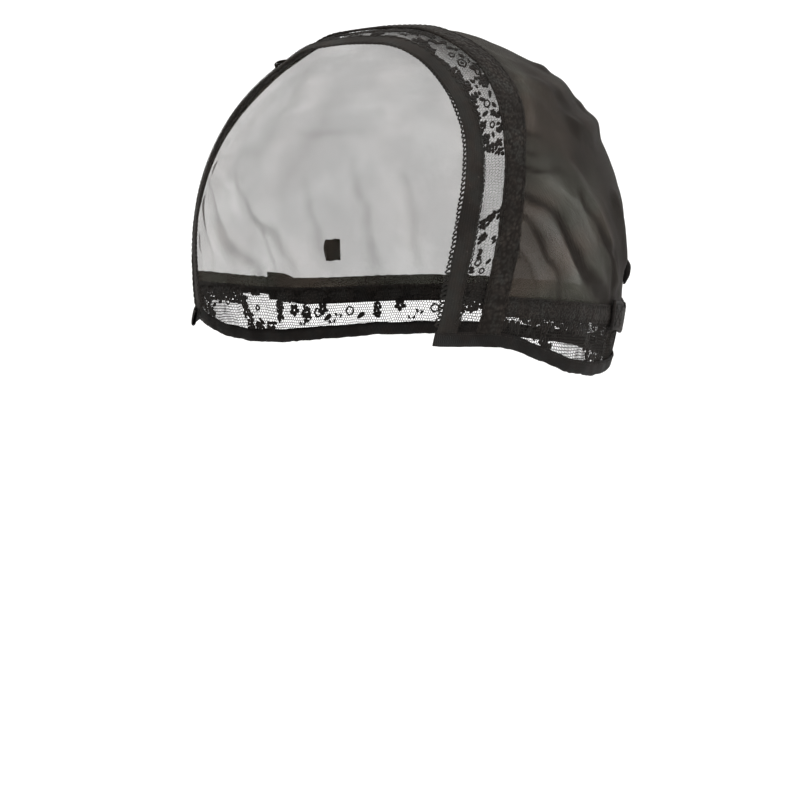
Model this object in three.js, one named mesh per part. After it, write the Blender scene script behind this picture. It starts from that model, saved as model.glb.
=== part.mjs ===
// Lace wig cap in the form it takes when it is worn.
//
// Frame: millimetres, +Z up, -Y towards the face, +X towards the wearer's left ear.
// The origin is the inside of the crown at the top of the head form.
// Every piece is a sheet of cloth laid over the same head form, in one of three layers,
// so the whole cap follows from the head's size, two tables of edges and a table of folds.

import * as THREE from 'three';

// ---------------------------------------------------------------- driving sizes

/** The head form under the cap: a rounded ellipsoid, wider round the back than the front. */
const HEAD = {
  halfWidth: 81.2,
  frontLength: 86,
  backLength: 107.5,
  domeHeight: 89,
  lowerHeight: 122,
  roundness: 2.1,
};

/** Layers of cloth, as distances out from the head form. */
const LAYER = {
  net: { inner: 0, outer: 1 },
  tape: { inner: 1.3, outer: 2.3 },
  strap: { inner: 2.6, outer: 3.6 },
};

/** Clear distance between two edges that meet in the same layer. */
const SEAM_GAP = 0.45;
/** How far the net and the laces stop short of each other under a tape. */
const HIDDEN_GAP = 1;
/** The front tape stands this far in front of the lace under it. */
const TAPE_OVERHANG = 1.5;

/**
 * Edges of the two tapes that arch over the head. `down` is the angle from the middle of the
 * top towards the ear, in degrees; the other columns say how far forward each edge lies there.
 */
const ARCH_EDGES = [
  { down: 0, tapeFront: -34.5, tapeRear: -26.3, bandFront: -13, bandRear: 0 },
  { down: 15, tapeFront: -35.3, tapeRear: -27.2, bandFront: -14, bandRear: -1.5 },
  { down: 30, tapeFront: -41.6, tapeRear: -33.6, bandFront: -20.2, bandRear: -7 },
  { down: 43, tapeFront: -48, tapeRear: -39.4, bandFront: -29.5, bandRear: -15.8 },
  { down: 57, tapeFront: -56.2, tapeRear: -47.6, bandFront: -39.8, bandRear: -29.4 },
  { down: 70, tapeFront: -62.2, tapeRear: -54.3, bandFront: -47.4, bandRear: -37.7 },
  { down: 85, tapeFront: -65.8, tapeRear: -59, bandFront: -52.6, bandRear: -43.6 },
  { down: 100, tapeFront: -67.6, tapeRear: -61.1, bandFront: -55.9, bandRear: -47.6 },
  { down: 116, tapeFront: -68.9, tapeRear: -62, bandFront: -57.8, bandRear: -49.8 },
];

/**
 * Heights round the lower part of the cap. `around` is the angle behind the ear line, in
 * degrees, negative towards the face, 90 at the middle of the nape.
 */
const LOWER_EDGES = [
  { around: -55, hem: -111.8, casing: -96 },
  { around: -44, hem: -112.4, casing: -97 },
  { around: -34, hem: -114.4, casing: -98.8 },
  { around: -22, hem: -120.8, casing: -101.2 },
  { around: -9, hem: -127.6, casing: -104.4 },
  { around: 8, hem: -133, casing: -108.4 },
  { around: 25, hem: -135.6, casing: -112 },
  { around: 45, hem: -136.8, casing: -114 },
  { around: 90, hem: -137.6, casing: -115.4 },
];

/** Satin ribbon bound round the lower edge. */
const HEM = { height: 5.6, lip: 1, stations: 60, earEnd: -53.5 };
/** Stitched casing along the net's lower edge. */
const CASING = { height: 8, stations: 40 };
/** Adjuster strap across the back, over the casing. */
const STRAP = { height: 12, from: 15, stations: 24 };
/** Folded ribbon loop above each end of the strap. */
const LOOP = { around: 39, top: -93, bottom: -102.5, halfAngle: 2.2, rise: 1.7, crownPower: 0.7, steps: 6 };

/** Gathers of the net, as ridges from one place to another on the left half of the crown. */
const NET_RIDGES = [
  { fromAround: -29, fromPolar: 80, toAround: -20, toPolar: 96, height: 1.3, spread: 4 },
  { fromAround: -25, fromPolar: 73, toAround: -7, toPolar: 96, height: 1.9, spread: 5 },
  { fromAround: -19, fromPolar: 67, toAround: 7, toPolar: 97, height: 2.2, spread: 6 },
  { fromAround: -4, fromPolar: 66, toAround: 21, toPolar: 97, height: 2, spread: 5.5 },
  { fromAround: 25, fromPolar: 76, toAround: 30, toPolar: 91, height: 1.9, spread: 6 },
  { fromAround: 52, fromPolar: 68, toAround: 58, toPolar: 98, height: 1.8, spread: 6 },
  { fromAround: 70, fromPolar: 66, toAround: 72, toPolar: 99, height: 1.7, spread: 6 },
  { fromAround: 86, fromPolar: 72, toAround: 86, toPolar: 99, height: 1.6, spread: 5 },
  { fromAround: 10, fromPolar: 41, toAround: 50, toPolar: 45, height: 2, spread: 6.5 },
  { fromAround: 12, fromPolar: 52.5, toAround: 50, toPolar: 57, height: 2.5, spread: 4.8 },
];
const NET = { columns: 54, rows: 18, flatEdge: 7.5, fullPuff: 17, lowerFlat: 8.5, lowerFull: 15 };

/**
 * Open mesh (o) and closed floral motif (.) of the laces, a string for each row of cells.
 * The front chart runs from the middle of the top down to the ear, the nape chart from the
 * front end of the panel round to the middle of the nape; both are mirrored.
 */
const FRONT_LACE_CHART = [
  '.o.oooo.o.oooo.o...oo.',
  'o.o.oo.oo.ooooo.o..oo.',
  '.o.o.ooo..oooo.oo.....',
];
const NAPE_LACE_CHART = [
  '.o.oo.o.ooo.o.oo..',
  '.ooooo.oooo.oo.o..',
];
/** Rows of lace cells across the strip, with plain cloth left under the tapes. */
const FRONT_LACE_ACROSS = [0, 0.36, 0.49, 0.62, 0.75, 1];
const NAPE_LACE_DOWN = [0, 0.24, 0.45, 0.66, 1];
/** A hole fills this much of its cell. */
const HOLE_FILL = 0.72;

const COLOUR = {
  tape: 0x24221f,
  band: 0x262421,
  net: 0x3a3531,
  lace: 0x1d1b1a,
  satin: 0x2b292b,
};

// ---------------------------------------------------------------- head form

const radians = THREE.MathUtils.degToRad;
const degrees = THREE.MathUtils.radToDeg;

/** The share that one coordinate takes of the head form's rounded-ellipsoid sum. */
const share = (length, halfAxis) => Math.abs(length / halfAxis) ** HEAD.roundness;
const lengthAxis = (y) => (y < 0 ? HEAD.frontLength : HEAD.backLength);
const heightAxis = (z) => (z > 0 ? HEAD.domeHeight : HEAD.lowerHeight);

/** A place on the head form, in head coordinates (origin at the head's middle), with its normal. */
function place(x, y, z) {
  const power = HEAD.roundness - 1;
  const slope = (length, axis) => Math.sign(length) * Math.abs(length / axis) ** power / axis;
  const normal = new THREE.Vector3(
    slope(x, HEAD.halfWidth),
    slope(y, lengthAxis(y)),
    slope(z, heightAxis(z)),
  );
  return { point: new THREE.Vector3(x, y, z - HEAD.domeHeight), normal: normal.normalize() };
}

/** Where a direction from the head's middle meets the form. */
function onRay(direction) {
  const total = share(direction.x, HEAD.halfWidth) + share(direction.y, lengthAxis(direction.y))
    + share(direction.z, heightAxis(direction.z));
  const reach = total ** (-1 / HEAD.roundness);
  return place(direction.x * reach, direction.y * reach, direction.z * reach);
}

/** Where the arch `down` degrees from the top meets the plane that lies at y. */
function onArch(down, y) {
  const side = Math.sin(radians(down));
  const up = Math.cos(radians(down));
  const total = share(side, HEAD.halfWidth) + share(up, heightAxis(up));
  const reach = ((1 - share(y, lengthAxis(y))) / total) ** (1 / HEAD.roundness);
  return place(side * reach, y, up * reach);
}

/** Where the head's ring at height z (in the cap's frame) lies `around` degrees behind the ear line. */
function onRing(around, z) {
  const side = Math.cos(radians(around));
  const back = Math.sin(radians(around));
  const fromMiddle = z + HEAD.domeHeight;
  const total = share(side, HEAD.halfWidth) + share(back, lengthAxis(back));
  const reach = ((1 - share(fromMiddle, heightAxis(fromMiddle))) / total) ** (1 / HEAD.roundness);
  return place(side * reach, back * reach, fromMiddle);
}

/** Angle round the head of a point, folded onto the left half: -90 at the face, 90 at the nape. */
const aroundOf = (point) => degrees(Math.atan2(point.y, Math.abs(point.x)));

// ---------------------------------------------------------------- tables and curves

/** Reads a column of a table at any key, on a smooth curve through its rows. */
function readTable(rows, key, column, at) {
  const clamped = THREE.MathUtils.clamp(at, rows[0][key], rows[rows.length - 1][key]);
  const index = Math.max(1, rows.findIndex((row) => row[key] >= clamped));
  const [start, end] = [rows[index - 1], rows[index]];
  const slopeAt = (position) => {
    if (position === 0) return 0;
    const before = rows[position - 1];
    const after = rows[Math.min(position + 1, rows.length - 1)];
    return (after[column] - before[column]) / (after[key] - before[key]);
  };
  const width = end[key] - start[key];
  const t = (clamped - start[key]) / width;
  const leaving = slopeAt(index - 1) * width * (t ** 3 - 2 * t ** 2 + t);
  const arriving = slopeAt(index) * width * (t ** 3 - t ** 2);
  const bend = leaving + arriving;
  return start[column] * (2 * t ** 3 - 3 * t ** 2 + 1) + end[column] * (3 * t ** 2 - 2 * t ** 3) + bend;
}

const archEdge = (column, down) => readTable(ARCH_EDGES, 'down', column, Math.abs(down));
const bandMiddle = (down) => (archEdge('bandFront', down) + archEdge('bandRear', down)) / 2;
const lowerEdge = (column, around) => readTable(LOWER_EDGES, 'around', column, around);

/** The value where a falling function passes zero. */
function fallsThroughZero(value, low, high) {
  let [start, end] = [low, high];
  for (let step = 0; step < 40; step += 1) {
    const middle = (start + end) / 2;
    if (value(middle) > 0) start = middle;
    else end = middle;
  }
  return (start + end) / 2;
}

/** The angle down the arch at which an edge comes to a given height above the hem's lower edge. */
function archEnd(edge, rise) {
  return fallsThroughZero((down) => {
    const { point } = onArch(down, edge(down));
    return point.z - lowerEdge('hem', aroundOf(point)) - rise;
  }, 60, 130);
}

// ---------------------------------------------------------------- sheets of cloth

/** Collects triangles over shared corners and drops those that have closed up to a line. */
class ClothMesh {
  constructor() {
    this.corners = [];
    this.known = new Map();
    this.triangles = [];
  }

  corner(vector) {
    const key = vector.toArray().map((value) => Math.round(value * 1e4)).join();
    if (!this.known.has(key)) {
      this.known.set(key, this.corners.length / 3);
      this.corners.push(...vector.toArray());
    }
    return this.known.get(key);
  }

  triangle(a, b, c) {
    if (a !== b && b !== c && c !== a) this.triangles.push(a, b, c);
  }

  quad(a, b, c, d) {
    this.triangle(a, b, c);
    this.triangle(a, c, d);
  }

  geometry() {
    const geometry = new THREE.BufferGeometry();
    geometry.setAttribute('position', new THREE.Float32BufferAttribute(this.corners, 3));
    geometry.setIndex(this.triangles);
    geometry.computeVertexNormals();
    return geometry;
  }
}

const evenly = (count) => Array.from({ length: count + 1 }, (_, index) => index / count);

/** Point of a sheet at a distance out from the head form. */
const lifted = (spot, lift) => spot.point.clone().addScaledVector(spot.normal, lift);

/**
 * A sheet of cloth with two faces and a rim. `spotAt(u, v)` gives a place on the head form;
 * u runs so that u, v and the outward normal are right-handed. `layerAt(spot, u, v)` gives the
 * distances of its faces, and `isOpen(column, row)` says which cells are cut through.
 */
function sheet({ across, down, spotAt, layerAt, isOpen = () => false }) {
  const mesh = new ClothMesh();
  const face = across.map((u) => down.map((v) => {
    const spot = spotAt(u, v);
    const { inner, outer } = layerAt(spot, u, v);
    return { inner: mesh.corner(lifted(spot, inner)), outer: mesh.corner(lifted(spot, outer)) };
  }));
  const wall = (a, b) => mesh.quad(a.inner, b.inner, b.outer, a.outer);

  for (let column = 0; column < across.length - 1; column += 1) {
    for (let row = 0; row < down.length - 1; row += 1) {
      const [near, far] = [face[column], face[column + 1]];
      const cell = [near[row], far[row], far[row + 1], near[row + 1]];
      if (isOpen(column, row)) {
        piercedCell(mesh, cell);
      } else {
        mesh.quad(...cell.map((corner) => corner.outer));
        mesh.quad(...cell.map((corner) => corner.inner).reverse());
      }
    }
  }
  const lastColumn = across.length - 1;
  const lastRow = down.length - 1;
  for (let column = 0; column < lastColumn; column += 1) {
    wall(face[column][0], face[column + 1][0]);
    wall(face[column + 1][lastRow], face[column][lastRow]);
  }
  for (let row = 0; row < lastRow; row += 1) {
    wall(face[lastColumn][row], face[lastColumn][row + 1]);
    wall(face[0][row + 1], face[0][row]);
  }
  return mesh.geometry();
}

/** Corners of the six-sided hole in a cell of lace, and the cell's corners each one faces. */
const HOLE_CORNERS = [
  { u: 0.5, v: 0, cellCorners: [0, 1] },
  { u: 1, v: 0.28, cellCorners: [1] },
  { u: 1, v: 0.72, cellCorners: [2] },
  { u: 0.5, v: 1, cellCorners: [2, 3] },
  { u: 0, v: 0.72, cellCorners: [3] },
  { u: 0, v: 0.28, cellCorners: [0] },
];

/** A cell of lace with a hole cut through it. */
function piercedCell(mesh, cell) {
  const cornerOf = (index) => new THREE.Vector3().fromArray(mesh.corners, index * 3);
  const hole = { inner: [], outer: [] };
  for (const side of ['inner', 'outer']) {
    const [a, b, c, d] = cell.map((corner) => cornerOf(corner[side]));
    hole[side] = HOLE_CORNERS.map(({ u, v }) => {
      const shrink = (value) => 0.5 + (value - 0.5) * HOLE_FILL;
      const near = a.clone().lerp(b, shrink(u));
      const far = d.clone().lerp(c, shrink(u));
      return mesh.corner(near.lerp(far, shrink(v)));
    });
  }
  HOLE_CORNERS.forEach(({ cellCorners }, index) => {
    const next = (index + 1) % HOLE_CORNERS.length;
    const nextCorners = HOLE_CORNERS[next].cellCorners;
    const from = cellCorners[cellCorners.length - 1];
    const to = nextCorners[0];
    const { inner, outer } = hole;
    mesh.triangle(cell[from].outer, outer[next], outer[index]);
    mesh.triangle(cell[from].inner, inner[index], inner[next]);
    if (from !== to) {
      mesh.triangle(cell[from].outer, cell[to].outer, outer[next]);
      mesh.triangle(cell[from].inner, inner[next], cell[to].inner);
    }
    if (cellCorners.length === 2) {
      mesh.triangle(cell[cellCorners[0]].outer, cell[cellCorners[1]].outer, outer[index]);
      mesh.triangle(cell[cellCorners[0]].inner, inner[index], cell[cellCorners[1]].inner);
    }
    mesh.quad(inner[next], inner[index], outer[index], outer[next]);
  });
}

// ---------------------------------------------------------------- places on the cap

/** Places on a strip that arches over the head between two edges, u from right ear to left. */
function archStrip(frontEdge, rearEdge, rise) {
  return (u, v) => {
    const line = (down) => THREE.MathUtils.lerp(frontEdge(down), rearEdge(down), v);
    const down = (2 * u - 1) * archEnd(line, rise);
    return onArch(down, line(down));
  };
}

/** Places on a strip that runs round the back at two heights, u from right to left. */
function backStrip(startAround, upper, lower) {
  return (u, v) => {
    const beside = 90 - (90 - startAround(v)) * Math.abs(1 - 2 * u);
    const height = THREE.MathUtils.lerp(upper(beside), lower(beside), v);
    return onRing(u < 0.5 ? 180 - beside : beside, height);
  };
}

/** How far round the head an arched edge crosses a line of heights. */
function aroundOfArch(edge, height) {
  return fallsThroughZero((around) => {
    const { point } = onRing(around, height(around));
    const down = degrees(Math.atan2(point.x, point.z + HEAD.domeHeight));
    return edge(down) - point.y;
  }, -60, 0);
}

const layerOf = (layer) => () => layer;

// ---------------------------------------------------------------- pieces

const frontTape = () => sheet({
  across: evenly(54),
  down: [0, 1],
  spotAt: archStrip(
    (down) => archEdge('tapeFront', down),
    (down) => archEdge('tapeRear', down),
    HEM.height + SEAM_GAP,
  ),
  layerAt: layerOf(LAYER.tape),
});

const crownBand = () => sheet({
  across: evenly(54),
  down: [0, 0.5, 1],
  spotAt: archStrip(
    (down) => archEdge('bandFront', down),
    (down) => archEdge('bandRear', down),
    HEM.height + SEAM_GAP,
  ),
  layerAt: layerOf(LAYER.tape),
});

function frontLace() {
  const halfCells = FRONT_LACE_CHART[0].length;
  const firstOpenRow = 1;
  return sheet({
    across: evenly(2 * halfCells),
    down: FRONT_LACE_ACROSS,
    spotAt: archStrip(
      (down) => archEdge('tapeFront', down) + TAPE_OVERHANG,
      (down) => bandMiddle(down) - HIDDEN_GAP,
      HEM.lip + SEAM_GAP,
    ),
    layerAt: layerOf(LAYER.net),
    isOpen: (column, row) => {
      const fromMiddle = column < halfCells ? halfCells - 1 - column : column - halfCells;
      const chartRow = FRONT_LACE_CHART[row - firstOpenRow];
      return chartRow !== undefined && chartRow[fromMiddle] === 'o';
    },
  });
}

function napeLace() {
  const halfCells = NAPE_LACE_CHART[0].length;
  const firstOpenRow = 1;
  const upper = (around) => lowerEdge('casing', around) - HIDDEN_GAP;
  const lower = (around) => lowerEdge('hem', around) + HEM.lip + SEAM_GAP;
  const frontEdge = (down) => bandMiddle(down) + HIDDEN_GAP;
  const upperStart = aroundOfArch(frontEdge, upper);
  const lowerStart = aroundOfArch(frontEdge, lower);
  return sheet({
    across: evenly(2 * halfCells),
    down: NAPE_LACE_DOWN,
    spotAt: backStrip((v) => THREE.MathUtils.lerp(upperStart, lowerStart, v), upper, lower),
    layerAt: layerOf(LAYER.net),
    isOpen: (column, row) => {
      const fromFront = Math.min(column, 2 * halfCells - 1 - column);
      const chartRow = NAPE_LACE_CHART[row - firstOpenRow];
      return chartRow !== undefined && chartRow[fromFront] === 'o';
    },
  });
}

/** Height that the gathers lift the net above the head form at a place. */
function gathers(point) {
  const fromMiddle = point.clone().setZ(point.z + HEAD.domeHeight);
  const polar = degrees(fromMiddle.angleTo(new THREE.Vector3(0, 0, 1)));
  const around = aroundOf(point);
  const arcPerDegree = radians(HEAD.domeHeight);
  const flat = (aroundAngle, polarAngle) => new THREE.Vector2(
    aroundAngle * Math.sin(radians(polar)),
    polarAngle,
  ).multiplyScalar(arcPerDegree);
  const here = flat(around, polar);
  return NET_RIDGES.reduce((total, ridge) => {
    const from = flat(ridge.fromAround, ridge.fromPolar);
    const along = flat(ridge.toAround, ridge.toPolar).sub(from);
    const t = THREE.MathUtils.clamp(here.clone().sub(from).dot(along) / along.lengthSq(), 0, 1);
    const away = here.distanceTo(from.addScaledVector(along, t));
    return total + ridge.height * Math.exp(-((away / ridge.spread) ** 2));
  }, 0);
}

function crownNet() {
  const frontEdge = (down) => bandMiddle(down) + HIDDEN_GAP;
  const poleSpot = onArch(0, frontEdge(0)).point;
  const tilt = Math.atan2(-poleSpot.y, poleSpot.z + HEAD.domeHeight);
  const tiltAxis = new THREE.Vector3(1, 0, 0);
  const fromPole = (polar, around) => onRay(
    new THREE.Vector3().setFromSphericalCoords(1, radians(polar), radians(around))
      .applyAxisAngle(tiltAxis, Math.PI / 2)
      .applyAxisAngle(tiltAxis, tilt),
  );
  /** How far round from straight back the net reaches, at an angle down from its front middle. */
  const reachAt = (polar) => fallsThroughZero((around) => {
    const { point } = fromPole(polar, 180 - around);
    const down = degrees(Math.atan2(point.x, point.z + HEAD.domeHeight));
    return point.y - frontEdge(down);
  }, 40, 150);
  const spotOn = (u, polar) => {
    if (polar === 0) return fromPole(0, 0);
    return fromPole(polar, 180 + (1 - 2 * u) * reachAt(polar));
  };
  const endPolar = (u) => fallsThroughZero((polar) => {
    const { point } = spotOn(u, polar);
    return point.z - lowerEdge('casing', aroundOf(point)) - HIDDEN_GAP;
  }, 60, 125);
  const ends = new Map();
  const endOf = (u) => {
    if (!ends.has(u)) ends.set(u, endPolar(u));
    return ends.get(u);
  };
  const puffAt = (spot, u, v) => {
    const polar = v * endOf(u);
    const ringRadius = HEAD.domeHeight * Math.sin(radians(polar));
    const fromTape = Math.min(u, 1 - u) * 2 * radians(reachAt(Math.max(polar, 1))) * ringRadius;
    const fromCasing = (1 - v) * radians(endOf(u)) * HEAD.domeHeight;
    return gathers(spot.point)
      * THREE.MathUtils.smoothstep(fromTape, NET.flatEdge, NET.fullPuff)
      * THREE.MathUtils.smoothstep(fromCasing, NET.lowerFlat, NET.lowerFull);
  };
  return sheet({
    across: evenly(NET.columns),
    down: evenly(NET.rows),
    spotAt: (u, v) => spotOn(u, v * endOf(u)),
    layerAt: (spot, u, v) => {
      const puff = puffAt(spot, u, v);
      return { inner: LAYER.net.inner + puff, outer: LAYER.net.outer + puff };
    },
  });
}

function netCasing() {
  const upper = (around) => lowerEdge('casing', around) + CASING.height / 2;
  const lower = (around) => lowerEdge('casing', around) - CASING.height / 2;
  const frontEdge = (down) => archEdge('bandRear', down) + SEAM_GAP;
  const upperStart = aroundOfArch(frontEdge, upper);
  const lowerStart = aroundOfArch(frontEdge, lower);
  return sheet({
    across: evenly(CASING.stations),
    down: [0, 0.5, 1],
    spotAt: backStrip((v) => THREE.MathUtils.lerp(upperStart, lowerStart, v), upper, lower),
    layerAt: layerOf(LAYER.tape),
  });
}

/** The binding is swept as an L: a leaf outside the cloth and a lip under its raw edge. */
function hemBinding() {
  const { net, tape } = LAYER;
  const section = [
    { rise: HEM.height, lift: tape.outer },
    { rise: HEM.height, lift: tape.inner },
    { rise: HEM.lip, lift: tape.inner },
    { rise: HEM.lip, lift: net.inner },
    { rise: 0, lift: net.inner },
    { rise: 0, lift: tape.outer },
  ];
  const mesh = new ClothMesh();
  const rings = evenly(HEM.stations).map((t) => {
    const around = THREE.MathUtils.lerp(180 - HEM.earEnd, HEM.earEnd, t);
    const beside = around < 90 ? around : 180 - around;
    return section.map(({ rise, lift }) => {
      const spot = onRing(around, lowerEdge('hem', beside) + rise);
      return mesh.corner(lifted(spot, lift));
    });
  });
  for (let station = 0; station < HEM.stations; station += 1) {
    section.forEach((_, index) => {
      const next = (index + 1) % section.length;
      const [here, beyond] = [rings[station], rings[station + 1]];
      mesh.quad(here[index], here[next], beyond[next], beyond[index]);
    });
  }
  const outline = section.map(({ rise, lift }) => new THREE.Vector2(lift, rise));
  for (const [a, b, c] of THREE.ShapeUtils.triangulateShape(outline, [])) {
    const [start, end] = [rings[0], rings[HEM.stations]];
    mesh.triangle(start[c], start[b], start[a]);
    mesh.triangle(end[a], end[b], end[c]);
  }
  return mesh.geometry();
}

function napeStrap() {
  const middle = (around) => lowerEdge('casing', around);
  return sheet({
    across: evenly(STRAP.stations),
    down: [0, 1],
    spotAt: backStrip(
      () => STRAP.from,
      (around) => middle(around) + STRAP.height / 2,
      (around) => middle(around) - STRAP.height / 2,
    ),
    layerAt: layerOf(LAYER.strap),
  });
}

/** A loop of ribbon whose two feet are sewn down and whose middle stands clear of the net. */
function strapLoop(side) {
  const middle = side > 0 ? LOOP.around : 180 - LOOP.around;
  return sheet({
    across: [0, 1],
    down: evenly(LOOP.steps),
    spotAt: (u, v) => onRing(
      middle + (1 - 2 * u) * LOOP.halfAngle,
      THREE.MathUtils.lerp(LOOP.top, LOOP.bottom, v),
    ),
    layerAt: (spot, u, v) => {
      const rise = LOOP.rise * Math.sin(Math.PI * v ** LOOP.crownPower);
      return { inner: LAYER.tape.inner + rise, outer: LAYER.tape.outer + rise };
    },
  });
}

// ---------------------------------------------------------------- assembly

const cloth = (color, roughness) => new THREE.MeshStandardMaterial({ color, roughness, metalness: 0 });

const PIECES = [
  { name: 'front_tape', geometry: frontTape, material: cloth(COLOUR.tape, 0.9) },
  { name: 'front_lace', geometry: frontLace, material: cloth(COLOUR.lace, 0.95) },
  { name: 'crown_band', geometry: crownBand, material: cloth(COLOUR.band, 0.92) },
  { name: 'crown_net', geometry: crownNet, material: cloth(COLOUR.net, 0.85) },
  { name: 'net_casing', geometry: netCasing, material: cloth(COLOUR.net, 0.9) },
  { name: 'nape_lace', geometry: napeLace, material: cloth(COLOUR.lace, 0.95) },
  { name: 'hem_binding', geometry: hemBinding, material: cloth(COLOUR.satin, 0.45) },
  { name: 'nape_strap', geometry: napeStrap, material: cloth(COLOUR.tape, 0.9) },
  { name: 'strap_loop_left', geometry: () => strapLoop(1), material: cloth(COLOUR.satin, 0.5) },
  { name: 'strap_loop_right', geometry: () => strapLoop(-1), material: cloth(COLOUR.satin, 0.5) },
];

const cap = new THREE.Group();
for (const { name, geometry, material } of PIECES) {
  const piece = new THREE.Mesh(geometry(), material);
  piece.name = name;
  cap.add(piece);
}

export default cap;
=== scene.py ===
"""Lace wig cap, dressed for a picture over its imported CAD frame.

Every piece of cloth is laid over one head form, which isn't shown. A piece is worked out in
millimetres, along and across its strip of the head form, and becomes metres when its mesh is made.
Frame: +Z up, -Y towards the face, +X towards the wearer's left ear.
"""

from __future__ import annotations

import logging
import math
from collections.abc import Callable
from dataclasses import dataclass, field, replace
from enum import Enum
from functools import partial

import bpy
import numpy as np
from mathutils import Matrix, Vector

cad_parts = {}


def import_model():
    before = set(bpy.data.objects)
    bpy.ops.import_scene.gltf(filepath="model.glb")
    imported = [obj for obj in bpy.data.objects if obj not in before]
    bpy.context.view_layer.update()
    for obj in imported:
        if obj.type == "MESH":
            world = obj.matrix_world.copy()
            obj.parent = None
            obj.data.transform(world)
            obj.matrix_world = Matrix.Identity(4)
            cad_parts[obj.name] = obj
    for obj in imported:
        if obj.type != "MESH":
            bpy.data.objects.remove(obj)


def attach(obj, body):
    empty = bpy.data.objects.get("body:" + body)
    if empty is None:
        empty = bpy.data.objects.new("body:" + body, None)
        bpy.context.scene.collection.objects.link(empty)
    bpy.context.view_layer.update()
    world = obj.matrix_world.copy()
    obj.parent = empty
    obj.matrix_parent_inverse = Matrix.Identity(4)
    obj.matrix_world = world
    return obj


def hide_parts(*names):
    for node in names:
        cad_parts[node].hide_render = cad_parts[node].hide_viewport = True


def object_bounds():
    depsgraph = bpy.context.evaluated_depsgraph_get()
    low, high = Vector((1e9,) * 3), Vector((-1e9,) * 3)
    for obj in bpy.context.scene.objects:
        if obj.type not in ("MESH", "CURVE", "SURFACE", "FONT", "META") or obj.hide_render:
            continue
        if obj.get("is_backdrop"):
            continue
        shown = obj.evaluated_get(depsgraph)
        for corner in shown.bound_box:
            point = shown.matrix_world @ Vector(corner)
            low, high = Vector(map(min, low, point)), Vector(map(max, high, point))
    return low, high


LOG = logging.getLogger("wig_cap")

MM = 0.001
BODY = "root"

Array = np.ndarray
Spots = tuple[Array, Array]
Line = Callable[[Array], Array]
Height = Callable[[Array, Array], Array]
Object = bpy.types.Object
Material = bpy.types.Material
Tree = bpy.types.NodeTree
Node = bpy.types.Node
Socket = bpy.types.NodeSocket
Colour = tuple[float, float, float, float]


class Slot(Enum):
    """The record's material slots."""

    TAPE = "tape"
    BAND = "band"
    NET = "net"
    LACE = "lace"
    SATIN = "satin"


class Side(Enum):
    """The two halves of the cap, by the wearer's ears."""

    LEFT = 1
    RIGHT = -1


class Motif(Enum):
    """Figures worked into the lace ground."""

    FLOWER = "flower"
    RINGLET = "ringlet"
    LEAF = "leaf"
    SPRIG = "sprig"
    CLOTH = "cloth"


# -------------------- head form and its tables


@dataclass(frozen=True)
class HeadForm:
    """The head under the cap: a rounded ellipsoid, wider round the back than the front."""

    half_width: float = 81.2
    front_length: float = 86.0
    back_length: float = 107.5
    dome_height: float = 89.0
    lower_height: float = 122.0
    roundness: float = 2.1

    def _share(self, length: Array, half_axis: Array | float) -> Array:
        """How far out a length lies along one axis of the form, as a share to its power."""
        return np.abs(length / half_axis) ** self.roundness

    def _length_axis(self, y: Array) -> Array:
        """The form's half length, behind or in front of its middle."""
        return np.where(y < 0, self.front_length, self.back_length)

    def _height_axis(self, z: Array) -> Array:
        """The form's half height, above or under its middle."""
        return np.where(z > 0, self.dome_height, self.lower_height)

    def place(self, x: Array, y: Array, z: Array) -> Spots:
        """Turns places on the form into the cap's frame.

        Args:
            x: Places across the head, from its middle.
            y: Places towards the back.
            z: Places upwards.

        Returns:
            The points in the cap's frame and the outward normals there.
        """

        def slope(length: Array, axis: Array | float) -> Array:
            """The form's slope along one axis."""
            return np.sign(length) * np.abs(length / axis) ** (self.roundness - 1) / axis

        parts = (
            slope(x, self.half_width),
            slope(y, self._length_axis(y)),
            slope(z, self._height_axis(z)),
        )
        normals = np.stack(parts, axis=-1)
        normals /= np.linalg.norm(normals, axis=-1, keepdims=True)
        return np.stack([x, y, z - self.dome_height], axis=-1), normals

    def on_ray(self, rays: Array) -> Spots:
        """Finds where rays from the head's middle meet the form.

        Args:
            rays: Their directions, shape (..., 3).

        Returns:
            Points and normals there.
        """
        x, y, z = np.moveaxis(rays, -1, 0)
        total = (
            self._share(x, self.half_width)
            + self._share(y, self._length_axis(y))
            + self._share(z, self._height_axis(z))
        )
        reach = total ** (-1 / self.roundness)
        return self.place(x * reach, y * reach, z * reach)

    def on_arch(self, down: Array, y: Array) -> Spots:
        """Finds where arches from ear to ear meet the form.

        Args:
            down: Degrees down each arch from its top.
            y: Place of each arch towards the back.

        Returns:
            Points and normals there.
        """
        side, up = np.sin(np.radians(down)), np.cos(np.radians(down))
        total = self._share(side, self.half_width) + self._share(up, self._height_axis(up))
        left = np.maximum(1 - self._share(y, self._length_axis(y)), 1e-6)
        reach = (left / total) ** (1 / self.roundness)
        return self.place(side * reach, y + 0 * reach, up * reach)

    def on_ring(self, around: Array, height: Array) -> Spots:
        """Finds where level rings meet the form.

        Args:
            around: Degrees behind the ear line, from the left.
            height: Height of each ring in the cap's frame.

        Returns:
            Points and normals there.
        """
        side, back = np.cos(np.radians(around)), np.sin(np.radians(around))
        rise = height + self.dome_height
        total = self._share(side, self.half_width) + self._share(back, self._length_axis(back))
        left = np.maximum(1 - self._share(rise, self._height_axis(rise)), 1e-6)
        reach = (left / total) ** (1 / self.roundness)
        return self.place(side * reach, back * reach, rise + 0 * reach)


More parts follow.
